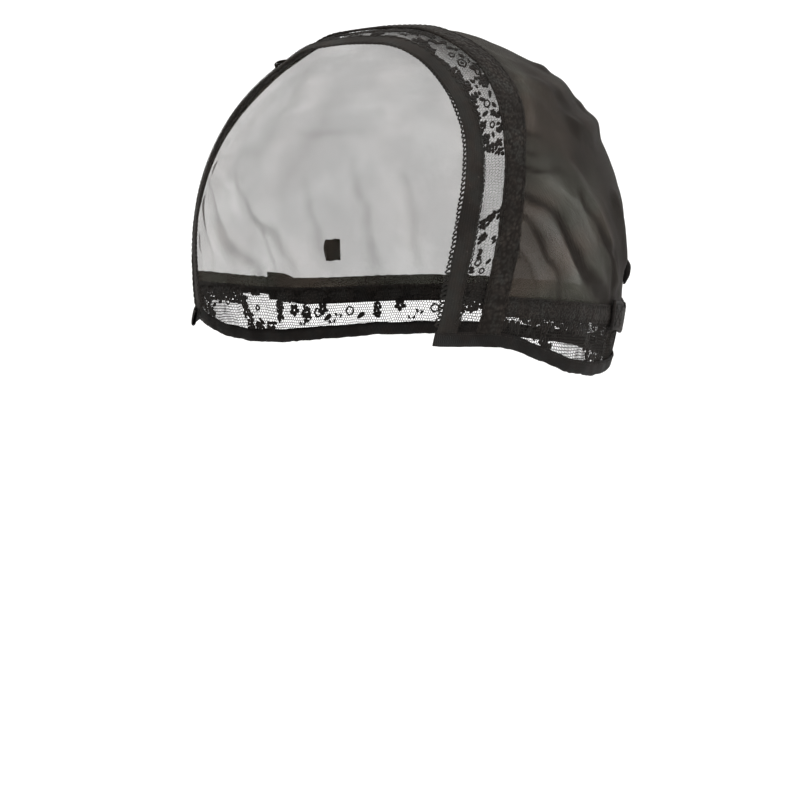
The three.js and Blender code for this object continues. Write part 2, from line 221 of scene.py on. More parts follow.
@dataclass(frozen=True)
class EdgeTable:
    """Edges of the cloth against an angle, read on a smooth curve through the rows."""

    keys: tuple[float, ...]
    columns: dict[str, tuple[float, ...]]

    def read(self, column: str, at: Array | float) -> Array:
        """Reads one column.

        Args:
            column: Name of the edge.
            at: Angles, held inside the table's first and last.

        Returns:
            The edge at those angles.
        """
        keys, values = np.array(self.keys), np.array(self.columns[column])
        slopes = np.zeros(len(keys))
        slopes[1:-1] = (values[2:] - values[:-2]) / (keys[2:] - keys[:-2])
        slopes[-1] = (values[-1] - values[-2]) / (keys[-1] - keys[-2])
        place = np.clip(at, keys[0], keys[-1])
        row = np.clip(np.searchsorted(keys, place), 1, len(keys) - 1)
        width = keys[row] - keys[row - 1]
        t = (place - keys[row - 1]) / width
        bend = slopes[row - 1] * (t**3 - 2 * t**2 + t) + slopes[row] * (t**3 - t**2)
        start, end = values[row - 1], values[row]
        return start * (2 * t**3 - 3 * t**2 + 1) + end * (3 * t**2 - 2 * t**3) + bend * width

    def line(self, column: str, shift: float = 0.0) -> Line:
        """One column as a function of the angle, with its values moved by a shift."""
        return lambda at: self.read(column, at) + shift


HEAD = HeadForm()
# Places of the arched edges towards the back, by degrees down from the top of the head.
ARCH = EdgeTable(
    (0, 15, 30, 43, 57, 70, 85, 100, 116),
    {
        "tape_front": (-34.5, -35.3, -41.6, -48, -56.2, -62.2, -65.8, -67.6, -68.9),
        "tape_rear": (-26.3, -27.2, -33.6, -39.4, -47.6, -54.3, -59, -61.1, -62),
        "band_front": (-13, -14, -20.2, -29.5, -39.8, -47.4, -52.6, -55.9, -57.8),
        "band_rear": (0, -1.5, -7, -15.8, -29.4, -37.7, -43.6, -47.6, -49.8),
    },
)
# Heights of the hem's lower edge and the casing's middle, by degrees behind the ear line.
LOWER = EdgeTable(
    (-55, -44, -34, -22, -9, 8, 25, 45, 90),
    {
        "hem": (-111.8, -112.4, -114.4, -120.8, -127.6, -133, -135.6, -136.8, -137.6),
        "casing": (-96, -97, -98.8, -101.2, -104.4, -108.4, -112, -114, -115.4),
    },
)
SEAM_GAP = 0.45
HIDDEN_GAP = 1.0
HEM_HEIGHT = 5.6
HEM_EAR_END = -53.5
CASING_HEIGHT = 8.0
STRAP_HEIGHT = 12.0
STRAP_FROM = 15.0
# Where the arched strips stand off the head: height, degrees from the top and spread.
STAND_OFFS = ((1.2, -17.5, 5.5), (0.6, 9.0, 6.0))
STRIP_ROWS = 400
STRIP_LINES = 13
STITCH_RADIUS = 0.13
HALVINGS = 36
GRAINS = 256


def smoothstep(value: Array, low: float, high: float) -> Array:
    """0 below low, 1 above high and a smooth step between them."""
    t = np.clip((value - low) / (high - low), 0, 1)
    return t * t * (3 - 2 * t)


def falls_through_zero(value: Line, low: Array, high: Array) -> Array:
    """Finds where a falling function passes zero, for whole arrays at once.

    Args:
        value: The function.
        low: Arguments at which it is above zero.
        high: Arguments at which it is below.

    Returns:
        The arguments at which it is zero.
    """
    start, end = np.array(low, dtype=float), np.array(high, dtype=float)
    for _ in range(HALVINGS):
        middle = (start + end) / 2
        above = value(middle) > 0
        start, end = np.where(above, middle, start), np.where(above, end, middle)
    return (start + end) / 2


def around_of(points: Array) -> Array:
    """Angle round the head on its left half: -90 at the face, 90 at the nape."""
    return np.degrees(np.arctan2(points[..., 1], np.abs(points[..., 0])))


def down_of(points: Array) -> Array:
    """Angle down from the top of the head, seen from the face."""
    return np.degrees(np.arctan2(np.abs(points[..., 0]), points[..., 2] + HEAD.dome_height))


def band_middle(down: Array) -> Array:
    """The line halfway between the crown band's edges."""
    return (ARCH.read("band_front", down) + ARCH.read("band_rear", down)) / 2


# -------------------- noise


class SoftNoise:
    """Smooth random values over a plane, the same on every run."""

    def __init__(self, seed: int) -> None:
        """Fills the lattice that the values are read from."""
        self._lattice = np.random.default_rng(seed).uniform(-1, 1, (GRAINS, GRAINS))

    def at(self, u: Array, v: Array | float = 0.0) -> Array:
        """Reads values between -1 and 1, whose grain is one unit wide.

        Args:
            u: Places along the plane.
            v: Places across it.

        Returns:
            The values there.
        """
        u, v = np.broadcast_arrays(np.asarray(u, dtype=float), np.asarray(v, dtype=float))
        column, row = np.floor(u).astype(int), np.floor(v).astype(int)
        s, t = u - column, v - row
        s, t = s * s * (3 - 2 * s), t * t * (3 - 2 * t)
        left, right = column % GRAINS, (column + 1) % GRAINS
        near, far = row % GRAINS, (row + 1) % GRAINS
        here = self._lattice[near, left] * (1 - s) + self._lattice[near, right] * s
        there = self._lattice[far, left] * (1 - s) + self._lattice[far, right] * s
        return here * (1 - t) + there * t


# -------------------- strips of the head form


class Strip:
    """A strip of the head form, read in millimetres along it and as a share across it."""

    def __init__(self, spots: Spots, stations: Array) -> None:
        """Keeps a fine grid of places.

        Args:
            spots: Points and normals, each of shape (along, across, 3).
            stations: The angle that each row along the strip was made at.
        """
        self.points, self.normals = spots
        self.stations = stations
        middle = self.points[:, self.points.shape[1] // 2]
        steps = np.linalg.norm(np.diff(middle, axis=0), axis=1)
        self.along = np.concatenate([[0], np.cumsum(steps)])
        self.length = float(self.along[-1])
        self.width = np.linalg.norm(np.diff(self.points, axis=1), axis=2).sum(axis=1)

    def along_of(self, station: Array | float) -> Array:
        """Millimetres along the strip of an angle, held inside its ends."""
        return np.interp(station, self.stations, self.along)

    def width_at(self, along: Array) -> Array:
        """Width of the strip at places along it."""
        return np.interp(along, self.along, self.width)

    def spot(self, along: Array, share: Array) -> Spots:
        """Finds places of the strip on the head form.

        Args:
            along: Millimetres along it.
            share: Shares of its width, from its first edge.

        Returns:
            Points and normals there.
        """
        along, share = np.broadcast_arrays(np.asarray(along, float), np.asarray(share, float))
        row = np.interp(along, self.along, np.arange(len(self.along)))
        column = share * (self.points.shape[1] - 1)
        i = np.clip(np.floor(row).astype(int), 0, len(self.along) - 2)
        j = np.clip(np.floor(column).astype(int), 0, self.points.shape[1] - 2)
        s, t = (row - i)[..., None], (column - j)[..., None]

        def read(grid: Array) -> Array:
            """Values of a grid between its places."""
            near, far = (grid[i, line] * (1 - s) + grid[i + 1, line] * s for line in (j, j + 1))
            return near * (1 - t) + far * t

        return read(self.points), read(self.normals)

    def raised(self, along: Array, share: Array, lift: Array | float) -> Spots:
        """Points at a height above the head form, and the normals there."""
        points, normals = self.spot(along, share)
        return points + normals * np.asarray(lift)[..., None], normals

    @staticmethod
    def arch(front: Line, rear: Line, rise: float) -> Strip:
        """A strip from ear to ear over the top, from the right ear to the left.

        Args:
            front: Front edge, as a function of the angle down the arch.
            rear: Rear edge, in the same way.
            rise: Height of the strip's ends above the hem's lower edge.

        Returns:
            The strip.
        """
        share = np.linspace(0, 1, STRIP_LINES)[None, :]

        def line(down: Array) -> Array:
            """The strip's lines, from its front edge to its rear edge."""
            return front(np.abs(down)) * (1 - share) + rear(np.abs(down)) * share

        def above_end(down: Array) -> Array:
            """Height above the strip's end."""
            points, _ = HEAD.on_arch(down, line(down))
            return points[..., 2] - LOWER.read("hem", around_of(points)) - rise

        end = falls_through_zero(above_end, np.full(share.shape, 60.0), np.full(share.shape, 130.0))
        down = np.linspace(-1, 1, STRIP_ROWS)[:, None] * end
        points, normals = HEAD.on_arch(down, line(down))
        lift = sum(height * np.exp(-(((down - at) / wide) ** 2)) for height, at, wide in STAND_OFFS)
        return Strip((points + normals * lift[..., None], normals), down[:, STRIP_LINES // 2])

    @staticmethod
    def back(start: tuple[float, float], upper: Line, lower: Line) -> Strip:
        """A strip round the back at two heights, from the right side to the left.

        Args:
            start: Angle round the head at which its upper and its lower edge end.
            upper: Height of the upper edge, as a function of the angle round the head.
            lower: Height of the lower edge, in the same way.

        Returns:
            The strip.
        """
        share = np.linspace(0, 1, STRIP_LINES)[None, :]
        ends = start[0] * (1 - share) + start[1] * share
        turn = np.linspace(-1, 1, STRIP_ROWS)[:, None]
        beside = 90 - (90 - ends) * np.abs(turn)
        height = upper(beside) * (1 - share) + lower(beside) * share
        around = np.where(turn < 0, 180 - beside, beside)
        return Strip(HEAD.on_ring(around, height), (-around)[:, STRIP_LINES // 2])


def around_of_arch(edge: Line, height: Line) -> float:
    """Finds how far round the head an arched edge crosses a line of heights.

    Args:
        edge: The edge, as a function of the angle down the arch.
        height: The line, as a function of the angle round the head.

    Returns:
        The angle round the head.
    """

    def behind(around: Array) -> Array:
        """How far the edge lies behind the line."""
        points, _ = HEAD.on_ring(around, height(around))
        return edge(down_of(points)) - points[..., 1]

    return float(falls_through_zero(behind, np.array(-60.0), np.array(0.0)))


def wavering(inset: Line, noise: SoftNoise, shift: float, *waves: tuple[float, float]) -> Line:
    """An edge of cloth that wavers about an inset.

    Args:
        inset: Millimetres from the strip's edge, at places along it.
        noise: Where the waves come from.
        shift: Which line of the noise they follow.
        *waves: Height and length of each wave, in millimetres.

    Returns:
        Where the edge runs, at places along the strip.
    """
    return lambda along: inset(along) + sum(
        height * noise.at(along / length, shift) for height, length in waves
    )


def waved(base: float, noise: SoftNoise, height: float, length: float, width: float) -> Height:
    """A face of cloth at a base height, with waves of a height, a length and a width."""
    return lambda along, across: base + height * noise.at(along / length, across / width)


def hollows(across: Array, width: Array | float, inset: float, reach: float) -> Array:
    """How far two rows of stitches near the edges pull the cloth in, as a share of their depth."""
    return sum(np.exp(-(((edge - inset) / reach) ** 2)) for edge in (across, width - across))


# -------------------- mesh building


@dataclass
class ClothMesh:
    """Collects closed shapes, in millimetres, with the cloth's own coordinates beside them."""

    points: list[Array] = field(default_factory=list)
    cloth: list[Array] = field(default_factory=list)
    faces: list[Array] = field(default_factory=list)
    materials: list[Array] = field(default_factory=list)
    # How much the cloth covers at each corner; the net's colour also reads it as painted shade.
    covers_and_shades: list[Array] = field(default_factory=list)
    count: int = 0

    def add(
        self, points: Array, cloth: Array, faces: list[Array], material: int = 0, cover_and_shade: Array | None = None
    ) -> None:
        """Adds corners and the faces between them.

        Args:
            points: Corners, shape (n, 3).
            cloth: Millimetres along and across the cloth at each corner, shape (n, 2).
            faces: Arrays of corner numbers, each of shape (m, 3) or (m, 4).
            material: Which of the object's materials the faces take.
            cover_and_shade: How deep in a fold each corner lies, as the cloth's cover and the painted shade
                that the net's colour takes from it, or None for 0.
        """
        self.points.append(points.reshape(-1, 3))
        self.cloth.append(cloth.reshape(-1, 2))
        size = len(self.points[-1])
        self.covers_and_shades.append(np.zeros(size) if cover_and_shade is None else cover_and_shade.reshape(-1))
        for block in faces:
            self.faces.append(block + self.count)
            self.materials.append(np.full(len(block), material))
        self.count += size

    def sheet(
        self, outer: Array, inner: Array, cloth: Array, covers_and_shades: tuple[Array, Array] | None = None
    ) -> None:
        """Adds a sheet with two faces and a rim, over grids of shape (along, across, 3).

        Args:
            outer: Corners of the face away from the head.
            inner: Corners of the face towards it.
            cloth: Millimetres along and across the cloth, shape (along, across, 2).
            covers_and_shades: How deep in a fold each corner of the two faces lies, as the cloth's cover and
                the painted shade that the net's colour takes from it, or None for 0.
        """
        n, m = outer.shape[:2]
        number = np.arange(n * m).reshape(n, m)
        top = np.stack([number[:-1, :-1], number[1:, :-1], number[1:, 1:], number[:-1, 1:]], -1)
        top = top.reshape(-1, 4)

        def wall(a: Array, b: Array) -> Array:
            """Quads between two lines of corners and the same lines of the other face."""
            return np.stack([a, a + n * m, b + n * m, b], -1)

        rim = np.concatenate([
            wall(number[:-1, 0], number[1:, 0]),
            wall(number[1:, -1], number[:-1, -1]),
            wall(number[-1, :-1], number[-1, 1:]),
            wall(number[0, 1:], number[0, :-1]),
        ])
        both = None if covers_and_shades is None else np.concatenate([cover_and_shade.reshape(-1) for cover_and_shade in covers_and_shades])
        self.add(
            np.concatenate([outer.reshape(-1, 3), inner.reshape(-1, 3)]),
            np.concatenate([cloth.reshape(-1, 2)] * 2),
            [top, top[:, ::-1] + n * m, rim],
            cover_and_shade=both,
        )

    def tubes(self, paths: Array, normals: Array, radius: float | Array, sides: int = 4) -> None:
        """Adds closed threads along paths, in the object's first material.

        Args:
            paths: Points of shape (threads, places, 3).
            normals: Outward normals of the cloth in the same shape.
            radius: Thread radius, or an array of them, one for each place.
            sides: Sides of a thread.
        """
        k, p = paths.shape[:2]
        tangents = np.gradient(paths, axis=1)
        tangents /= np.maximum(np.linalg.norm(tangents, axis=-1, keepdims=True), 1e-9)
        beside = np.cross(tangents, normals)
        beside /= np.maximum(np.linalg.norm(beside, axis=-1, keepdims=True), 1e-9)
        above = np.cross(beside, tangents)
        turn = np.arange(sides) * 2 * np.pi / sides + np.pi / 4
        radii = np.broadcast_to(np.asarray(radius, float), (k, p))[..., None, None]
        ring = np.cos(turn)[:, None] * beside[:, :, None] + np.sin(turn)[:, None] * above[:, :, None]
        points = paths[:, :, None] + ring * radii
        steps = np.linalg.norm(np.diff(paths, axis=1), axis=-1)
        length = np.concatenate([np.zeros((k, 1)), np.cumsum(steps, axis=1)], axis=1)
        cloth = np.stack(np.broadcast_arrays(length[..., None], turn / (2 * np.pi)), -1)
        number = np.arange(k * p * sides).reshape(k, p, sides)
        after = np.roll(number, -1, axis=2)
        walls = np.stack([number[:, :-1], after[:, :-1], after[:, 1:], number[:, 1:]], -1).reshape(-1, 4)
        caps = []
        for corner in range(1, sides - 1):
            caps.append(number[:, 0][:, [0, corner + 1, corner]])
            caps.append(number[:, -1][:, [0, corner, corner + 1]])
        self.add(points, cloth, [walls, np.concatenate(caps)])

    def plates(self, strip: Strip, outlines: Array, low: float, high: float, material: int) -> None:
        """Adds closed flat figures that lie on a strip.

        Args:
            strip: The strip that they lie on.
            outlines: Places along in millimetres and across as a share, shape (figures, places, 2).
            low: Height of their undersides.
            high: Height of their upper sides, which are a little domed.
            material: Which of the object's materials they take.
        """
        k, p = outlines.shape[:2]
        hub = outlines.mean(axis=1, keepdims=True)
        flat = np.concatenate([outlines, hub], axis=1)
        rim_drop, hub_rise = 0.12, 0.1
        heights = np.concatenate([np.full(p, high - rim_drop), [high + hub_rise]])
        top, _ = strip.raised(flat[..., 0], flat[..., 1], heights[None] + 0 * flat[..., 0])
        under, _ = strip.raised(flat[..., 0], flat[..., 1], low + 0 * flat[..., 0])
        points = np.concatenate([top, under], axis=1)
        width = strip.width_at(flat[..., 0])
        cloth = np.stack([flat[..., 0], flat[..., 1] * width], -1)
        ring = np.arange(p)
        after = (ring + 1) % p
        upper = np.stack([ring, after, np.full(p, p)], -1)
        lower = np.stack([after, ring, np.full(p, p)], -1) + p + 1
        rim = np.stack([ring, ring + p + 1, after + p + 1, after], -1)
        base = (np.arange(k) * 2 * (p + 1))[:, None, None]
        faces = [(block[None] + base).reshape(-1, block.shape[1]) for block in (upper, lower, rim)]
        self.add(points, np.concatenate([cloth, cloth], axis=1), faces, material)

    def to_object(self, name: str, materials: list[Material]) -> Object:
        """Makes the Blender object, smooth shaded, in metres.

        Args:
            name: The object's name.
            materials: Its materials.

        Returns:
            The object.
        """
        points = np.concatenate(self.points) * MM
        cloth = np.concatenate(self.cloth)
        sizes = np.concatenate([np.full(len(block), block.shape[1]) for block in self.faces])
        corners = np.concatenate([block.reshape(-1) for block in self.faces])
        mesh = bpy.data.meshes.new(name)
        mesh.vertices.add(len(points))
        mesh.vertices.foreach_set("co", points.astype(np.float32).reshape(-1))
        mesh.loops.add(len(corners))
        mesh.loops.foreach_set("vertex_index", corners.astype(np.int32))
        mesh.polygons.add(len(sizes))
        starts = np.concatenate([[0], np.cumsum(sizes)[:-1]])
        mesh.polygons.foreach_set("loop_start", starts.astype(np.int32))
        mesh.polygons.foreach_set("material_index", np.concatenate(self.materials).astype(np.int32))
        mesh.update(calc_edges=True)
        layer = mesh.uv_layers.new(name="cloth")
        layer.data.foreach_set("uv", cloth[corners].astype(np.float32).reshape(-1))
        # The "fold" attribute holds the cloth's cover and the net's painted shade.
        cover_and_shade = mesh.attributes.new("fold", "FLOAT", "POINT")
        cover_and_shade.data.foreach_set("value", np.concatenate(self.covers_and_shades).astype(np.float32))
        mesh.shade_smooth()
        for material in materials:
            mesh.materials.append(material)
        mesh.validate()
        made = bpy.data.objects.new(name, mesh)
        bpy.context.scene.collection.objects.link(made)
        triangles = int((sizes - 2).sum())
        LOG.info("%s: %d triangles", name, triangles)
        return made


# -------------------- finishes


class Graph:
    """Adds nodes to one node tree and links them."""

    def __init__(self, tree: Tree) -> None:
        """Keeps the tree and starts counting its nodes."""
        self.tree = tree
        self._placed = 0

    def node(self, kind: str, feeds: dict | None = None, **settings: object) -> Node:
        """Adds a node.

        Args:
            kind: Blender's name of the node's type.
            feeds: Values or sockets for its inputs, by name or number.
            **settings: The node's own settings.

        Returns:
            The node.
        """
        node = self.tree.nodes.new(kind)
        node.location = (180 * (self._placed % 12), -260 * (self._placed // 12))
        self._placed += 1
        for name, value in settings.items():
            setattr(node, name, value)
        for name, value in (feeds or {}).items():
            self.feed(node.inputs[name], value)
        return node

    def feed(self, socket: Socket, value: object) -> None:
        """Links a socket, or sets a plain value.

        Args:
            socket: The socket.
            value: What feeds it.
        """
        if isinstance(value, Socket):
            self.tree.links.new(value, socket)
        else:
            socket.default_value = value

    def math(self, operation: str, *values: object) -> Socket:
        """Result of a Math node over one, two or three values."""
        return self.node("ShaderNodeMath", dict(enumerate(values)), operation=operation).outputs[0]

    def noise(self, vector: Socket, scale: Socket | float, detail: float = 2.0) -> Socket:
        """Value of a noise texture around 0.5."""
        feeds = {"Vector": vector, "Scale": scale, "Detail": detail}
        return self.node("ShaderNodeTexNoise", feeds).outputs[0]

    def ramp(
        self, value: Socket, low: Socket | float, high: float, start: float = 0.0, end: float = 1.0
    ) -> Socket:
        """Value moved smoothly from start to end as it goes from low to high."""
        feeds = {0: value, 1: low, 2: high, 3: start, 4: end}
        return self.node("ShaderNodeMapRange", feeds, interpolation_type="SMOOTHSTEP").outputs[0]

    def blend(self, share: Socket, first: Socket | Colour, second: Socket | Colour) -> Socket:
        """Colour between two colours."""
        feeds = {0: share, 6: first, 7: second}
        return self.node("ShaderNodeMix", feeds, data_type="RGBA").outputs[2]


def new_group(
    name: str, vector: str, values: dict[str, float], outputs: tuple[str, ...]
) -> tuple[Graph, dict[str, Socket], dict[str, Socket]]:
    """Makes an empty shader node group.

    Args:
        name: The group's name.
        vector: Name of its first input, the place on the cloth.
        values: Its other inputs with their usual values.
        outputs: Names of its outputs, all plain values.

    Returns:
        The group's graph, what it is given and what it has to put out.
    """
    tree = bpy.data.node_groups.new(name, "ShaderNodeTree")
    tree.interface.new_socket(name=vector, in_out="INPUT", socket_type="NodeSocketVector")
    for label, usual in values.items():
        socket = tree.interface.new_socket(name=label, in_out="INPUT", socket_type="NodeSocketFloat")
        socket.default_value = usual
    for label in outputs:
        tree.interface.new_socket(name=label, in_out="OUTPUT", socket_type="NodeSocketFloat")
    graph = Graph(tree)
    given = graph.node("NodeGroupInput").outputs
    result = graph.node("NodeGroupOutput").inputs
    return graph, given, result


class Effects:
    """Shader node groups that the finishes share, each built once."""

    def __init__(self) -> None:
        """Builds the groups."""
        self.weave = self._weave()
        self.knit = self._knit()
        self.crepe = self._crepe()
        self.wear = self._wear()

    def _weave(self) -> Tree:
        """Over-and-under weave: its height, and how open it is between the threads.

        Returns:
            The group.
        """
        graph, given, result = new_group(
            "Cloth weave", "Cloth", {"Pitch": 0.5, "Slant": 0.0}, ("Height", "Open")
        )
        along, across, _ = graph.node("ShaderNodeSeparateXYZ", {0: given["Cloth"]}).outputs
        turns = graph.math("DIVIDE", math.pi, given["Pitch"])
        shifted = graph.math("MULTIPLY_ADD", across, given["Slant"], along)
        warp = graph.math("SINE", graph.math("MULTIPLY", shifted, turns))
        weft = graph.math("SINE", graph.math("MULTIPLY", across, turns))
        crossing = graph.math("MULTIPLY", warp, weft)
        graph.feed(result["Height"], graph.math("MULTIPLY_ADD", crossing, 0.5, 0.5))
        gaps = (graph.math("ABSOLUTE", warp), graph.math("ABSOLUTE", weft))
        graph.feed(result["Open"], graph.math("MULTIPLY", *gaps))
        return graph.tree

    def _knit(self) -> Tree:
        """Knitted ribs: V-shaped stitches in rows along the tape.

        Returns:
            The group.
        """
        graph, given, result = new_group("Knitted ribs", "Cloth", {"Rib": 1.1, "Stitch": 0.8}, ("Height",))
        along, across, _ = graph.node("ShaderNodeSeparateXYZ", {0: given["Cloth"]}).outputs
        rib = graph.math("PINGPONG", graph.math("DIVIDE", across, given["Rib"]), 0.5)
        lean = graph.math("MULTIPLY_ADD", rib, 1.3, graph.math("DIVIDE", along, given["Stitch"]))
        stitch = graph.math("SINE", graph.math("MULTIPLY", lean, math.tau))
        round_rib = graph.math("SINE", graph.math("MULTIPLY", rib, math.pi))
        height = graph.math("MULTIPLY", round_rib, graph.math("MULTIPLY_ADD", stitch, 0.3, 0.7))
        graph.feed(result["Height"], height)
        return graph.tree

    def _crepe(self) -> Tree:
        """Pebbled crepe: small round grains.

        Returns:
            The group.
        """
        graph, given, result = new_group("Pebbled crepe", "Cloth", {"Grain": 1.0}, ("Height",))
        feeds = {"Vector": given["Cloth"], "Scale": graph.math("DIVIDE", 1.0, given["Grain"])}
        cells = graph.node("ShaderNodeTexVoronoi", feeds, feature="SMOOTH_F1")
        graph.feed(result["Height"], graph.ramp(cells.outputs["Distance"], 0.05, 0.75, 1.0, 0.0))
        return graph.tree

    def _wear(self) -> Tree:
        """Uneven dye, rubbed patches and specks of lint over the whole cap.

        Returns:
            The group.
        """
        graph, given, result = new_group(
            "Dye and lint", "Place", {"Patch": 12.0, "Lint": 0.5}, ("Fade", "Lint", "Tone")
        )
        place = given["Place"]
        broad = graph.noise(place, graph.math("DIVIDE", 1.0, given["Patch"]), 3.0)
        specks = graph.noise(place, 0.9, 4.0)
        fewest = graph.math("MULTIPLY_ADD", given["Lint"], -0.12, 0.76)
        graph.feed(result["Fade"], graph.ramp(broad, 0.35, 0.68))
        graph.feed(result["Lint"], graph.ramp(specks, fewest, 0.86))
        graph.feed(result["Tone"], graph.ramp(graph.noise(place, 0.17), 0.38, 0.62))
        return graph.tree


@dataclass
class Bench:
    """A material while it is made: its shader, the cloth's coordinates and the wear."""

    material: Material
    graph: Graph
    shader: Node
    cloth: Socket
    wear: Node


@dataclass(frozen=True)
class Finish:
    """What every finish has: two tones, a gloss, a relief and a soft bloom at the edges.

    `depth` is the relief's in millimetres, and `polish` how far the roughness falls on its heights.
    """

    name: str
    dark: tuple[float, float, float]
    pale: tuple[float, float, float]
    roughness: float = 0.85
    sheen: float = 0.03
    gloss: float = 0.1
    patch: float = 12.0
    lint: float = 0.4
    depth: float = 0.1
    polish: float = 0.1

    def material(self, effects: Effects) -> Material:
        """Makes the material.

        Args:
            effects: The shared node groups.

        Returns:
            The material.
        """
        bench = self._start(effects)
        graph, shader = bench.graph, bench.shader
        relief = self._relief(bench, effects)
        self._paint(bench, relief)
        feeds = {"Height": relief.outputs["Height"], "Strength": 0.9, "Distance": self.depth * MM}
        graph.feed(shader.inputs["Normal"], graph.node("ShaderNodeBump", feeds).outputs[0])
        worn = self._worn(bench, relief)
        graph.feed(shader.inputs["Roughness"], graph.math("MULTIPLY_ADD", worn, -self.polish, self.roughness))
        return bench.material

    def _start(self, effects: Effects) -> Bench:
        """Lays out the material with its shader, the cloth's coordinates and the wear.

        Args:
            effects: The shared node groups.

        Returns:
            What the other steps work on.
        """
        material = bpy.data.materials.new(self.name)
        material.use_nodes = True
        material.node_tree.nodes.clear()
        graph = Graph(material.node_tree)
        shader = graph.node("ShaderNodeBsdfPrincipled")
        output = graph.node("ShaderNodeOutputMaterial")
        graph.feed(output.inputs["Surface"], shader.outputs[0])
        shader.inputs["Sheen Weight"].default_value = self.sheen
        shader.inputs["Sheen Roughness"].default_value = 0.45
        shader.inputs["Sheen Tint"].default_value = (0.8, 0.74, 0.68, 1)
        shader.inputs["Specular IOR Level"].default_value = self.gloss
        cloth = graph.node("ShaderNodeUVMap", uv_map="cloth").outputs[0]
        place = graph.node("ShaderNodeTexCoord").outputs["Object"]
        large = graph.node("ShaderNodeVectorMath", {0: place, 3: 1 / MM}, operation="SCALE").outputs[0]
        feeds = {"Place": large, "Patch": self.patch, "Lint": self.lint}
        wear = graph.node("ShaderNodeGroup", feeds, node_tree=effects.wear)
        return Bench(material, graph, shader, cloth, wear)

    def _relief(self, bench: Bench, effects: Effects) -> Node:
        """Places the node group whose "Height" is the cloth's relief."""
        raise NotImplementedError

    def _tone(self, bench: Bench, relief: Node) -> Socket:
        """How much of the pale tone shows: more on the relief's heights."""
        return relief.outputs["Height"]

    def _worn(self, bench: Bench, relief: Node) -> Socket:
        """Where the cloth is polished: on the relief's heights."""
        return relief.outputs["Height"]

    def _paint(self, bench: Bench, relief: Node) -> None:
        """Colours the cloth by its relief and its wear.

        Args:
            bench: The material in work.
            relief: The relief's node group.
        """
        graph, wear = bench.graph, bench.wear
        fade = graph.math("MULTIPLY_ADD", wear.outputs["Fade"], 0.7, 0.3)
        share = graph.math("MULTIPLY", self._tone(bench, relief), fade)
        cool = tuple(tone * part for tone, part in zip(self.pale, (0.84, 1.0, 1.06)))
        pale = graph.blend(wear.outputs["Tone"], (*self.pale, 1), (*cool, 1))
        base = graph.blend(share, (*self.dark, 1), pale)
        fluff = tuple(min(1.0, 3.2 * tone + 0.02) for tone in self.pale)
        speck = graph.math("MULTIPLY", wear.outputs["Lint"], 0.45)
        graph.feed(bench.shader.inputs["Base Color"], graph.blend(speck, base, (*fluff, 1)))


@dataclass(frozen=True)
class KnittedElastic(Finish):
    """Matte knitted elastic with ribs along it."""

    rib: float = 1.1
    stitch: float = 0.8
    depth: float = 0.07
    polish: float = 0.12

    def _relief(self, bench: Bench, effects: Effects) -> Node:
        """Places the knitted ribs."""
        feeds = {"Cloth": bench.cloth, "Rib": self.rib, "Stitch": self.stitch}
        return bench.graph.node("ShaderNodeGroup", feeds, node_tree=effects.knit)

    def _tone(self, bench: Bench, relief: Node) -> Socket:
        """How much of the pale tone shows: nearly as much between the ribs as on them."""
        return bench.graph.math("MULTIPLY_ADD", relief.outputs["Height"], 0.14, 0.49)


@dataclass(frozen=True)
class PebbledCrepe(Finish):
    """Stretch crepe with small round grains."""

    grain: float = 1.0
    depth: float = 0.25
    polish: float = 0.15

    def _relief(self, bench: Bench, effects: Effects) -> Node:
        """Places the pebbles."""
        feeds = {"Cloth": bench.cloth, "Grain": self.grain}
        return bench.graph.node("ShaderNodeGroup", feeds, node_tree=effects.crepe)


@dataclass(frozen=True)
class SheerNet(Finish):
    """Fine stretch net that lets light through and is darker where it is gathered, partly from its denser
    cover and partly from painted shade.
    """

    cover: float = 0.34
    fold_cover: float = 0.96
    pitch: float = 0.42
    cool: tuple[float, float, float] = (0.118, 0.12, 0.098)

    def _relief(self, bench: Bench, effects: Effects) -> Node:
        """Places the slanting weave."""
        feeds = {"Cloth": bench.cloth, "Pitch": self.pitch, "Slant": 0.3}
        return bench.graph.node("ShaderNodeGroup", feeds, node_tree=effects.weave)

    def _paint(self, bench: Bench, relief: Node) -> None:
        """Colours the net with painted shade and sets how much it covers, both from its "fold" attribute.

        Args:
            bench: The material in work.
            relief: The weave's node group.
        """
        graph, shader, fade = bench.graph, bench.shader, bench.wear.outputs["Fade"]
        fold = graph.node("ShaderNodeAttribute", attribute_name="fold").outputs["Fac"]
        lit = graph.math("MULTIPLY_ADD", relief.outputs["Height"], 0.6, 0.4)
        # Painted shade: the net's colour darkens as its "fold" value rises, in the creases and over the back.
        share_after_painted_shade = graph.math("MULTIPLY", lit, graph.ramp(fold, 0.25, 1.1, 1.0, 0.0))
        share = graph.math("MULTIPLY", share_after_painted_shade, graph.math("MULTIPLY_ADD", fade, 0.5, 0.5))
        patches = graph.ramp(graph.noise(bench.cloth, 0.035), 0.4, 0.6)
        tint = graph.blend(patches, (*self.pale, 1), (*self.cool, 1))
        graph.feed(shader.inputs["Base Color"], graph.blend(share, (*self.dark, 1), tint))
        plain = graph.math("MULTIPLY_ADD", fade, -0.04, self.cover + 0.02)
        closed = graph.math("ADD", plain, 0.1)
        threads = graph.math("MULTIPLY_ADD", relief.outputs["Open"], -0.24, closed)
        gathered = graph.math(
            "MULTIPLY_ADD", graph.ramp(fold, 0.0, 1.0), self.fold_cover - self.cover, threads
        )
        graph.feed(shader.inputs["Alpha"], graph.math("MINIMUM", gathered, 1.0))


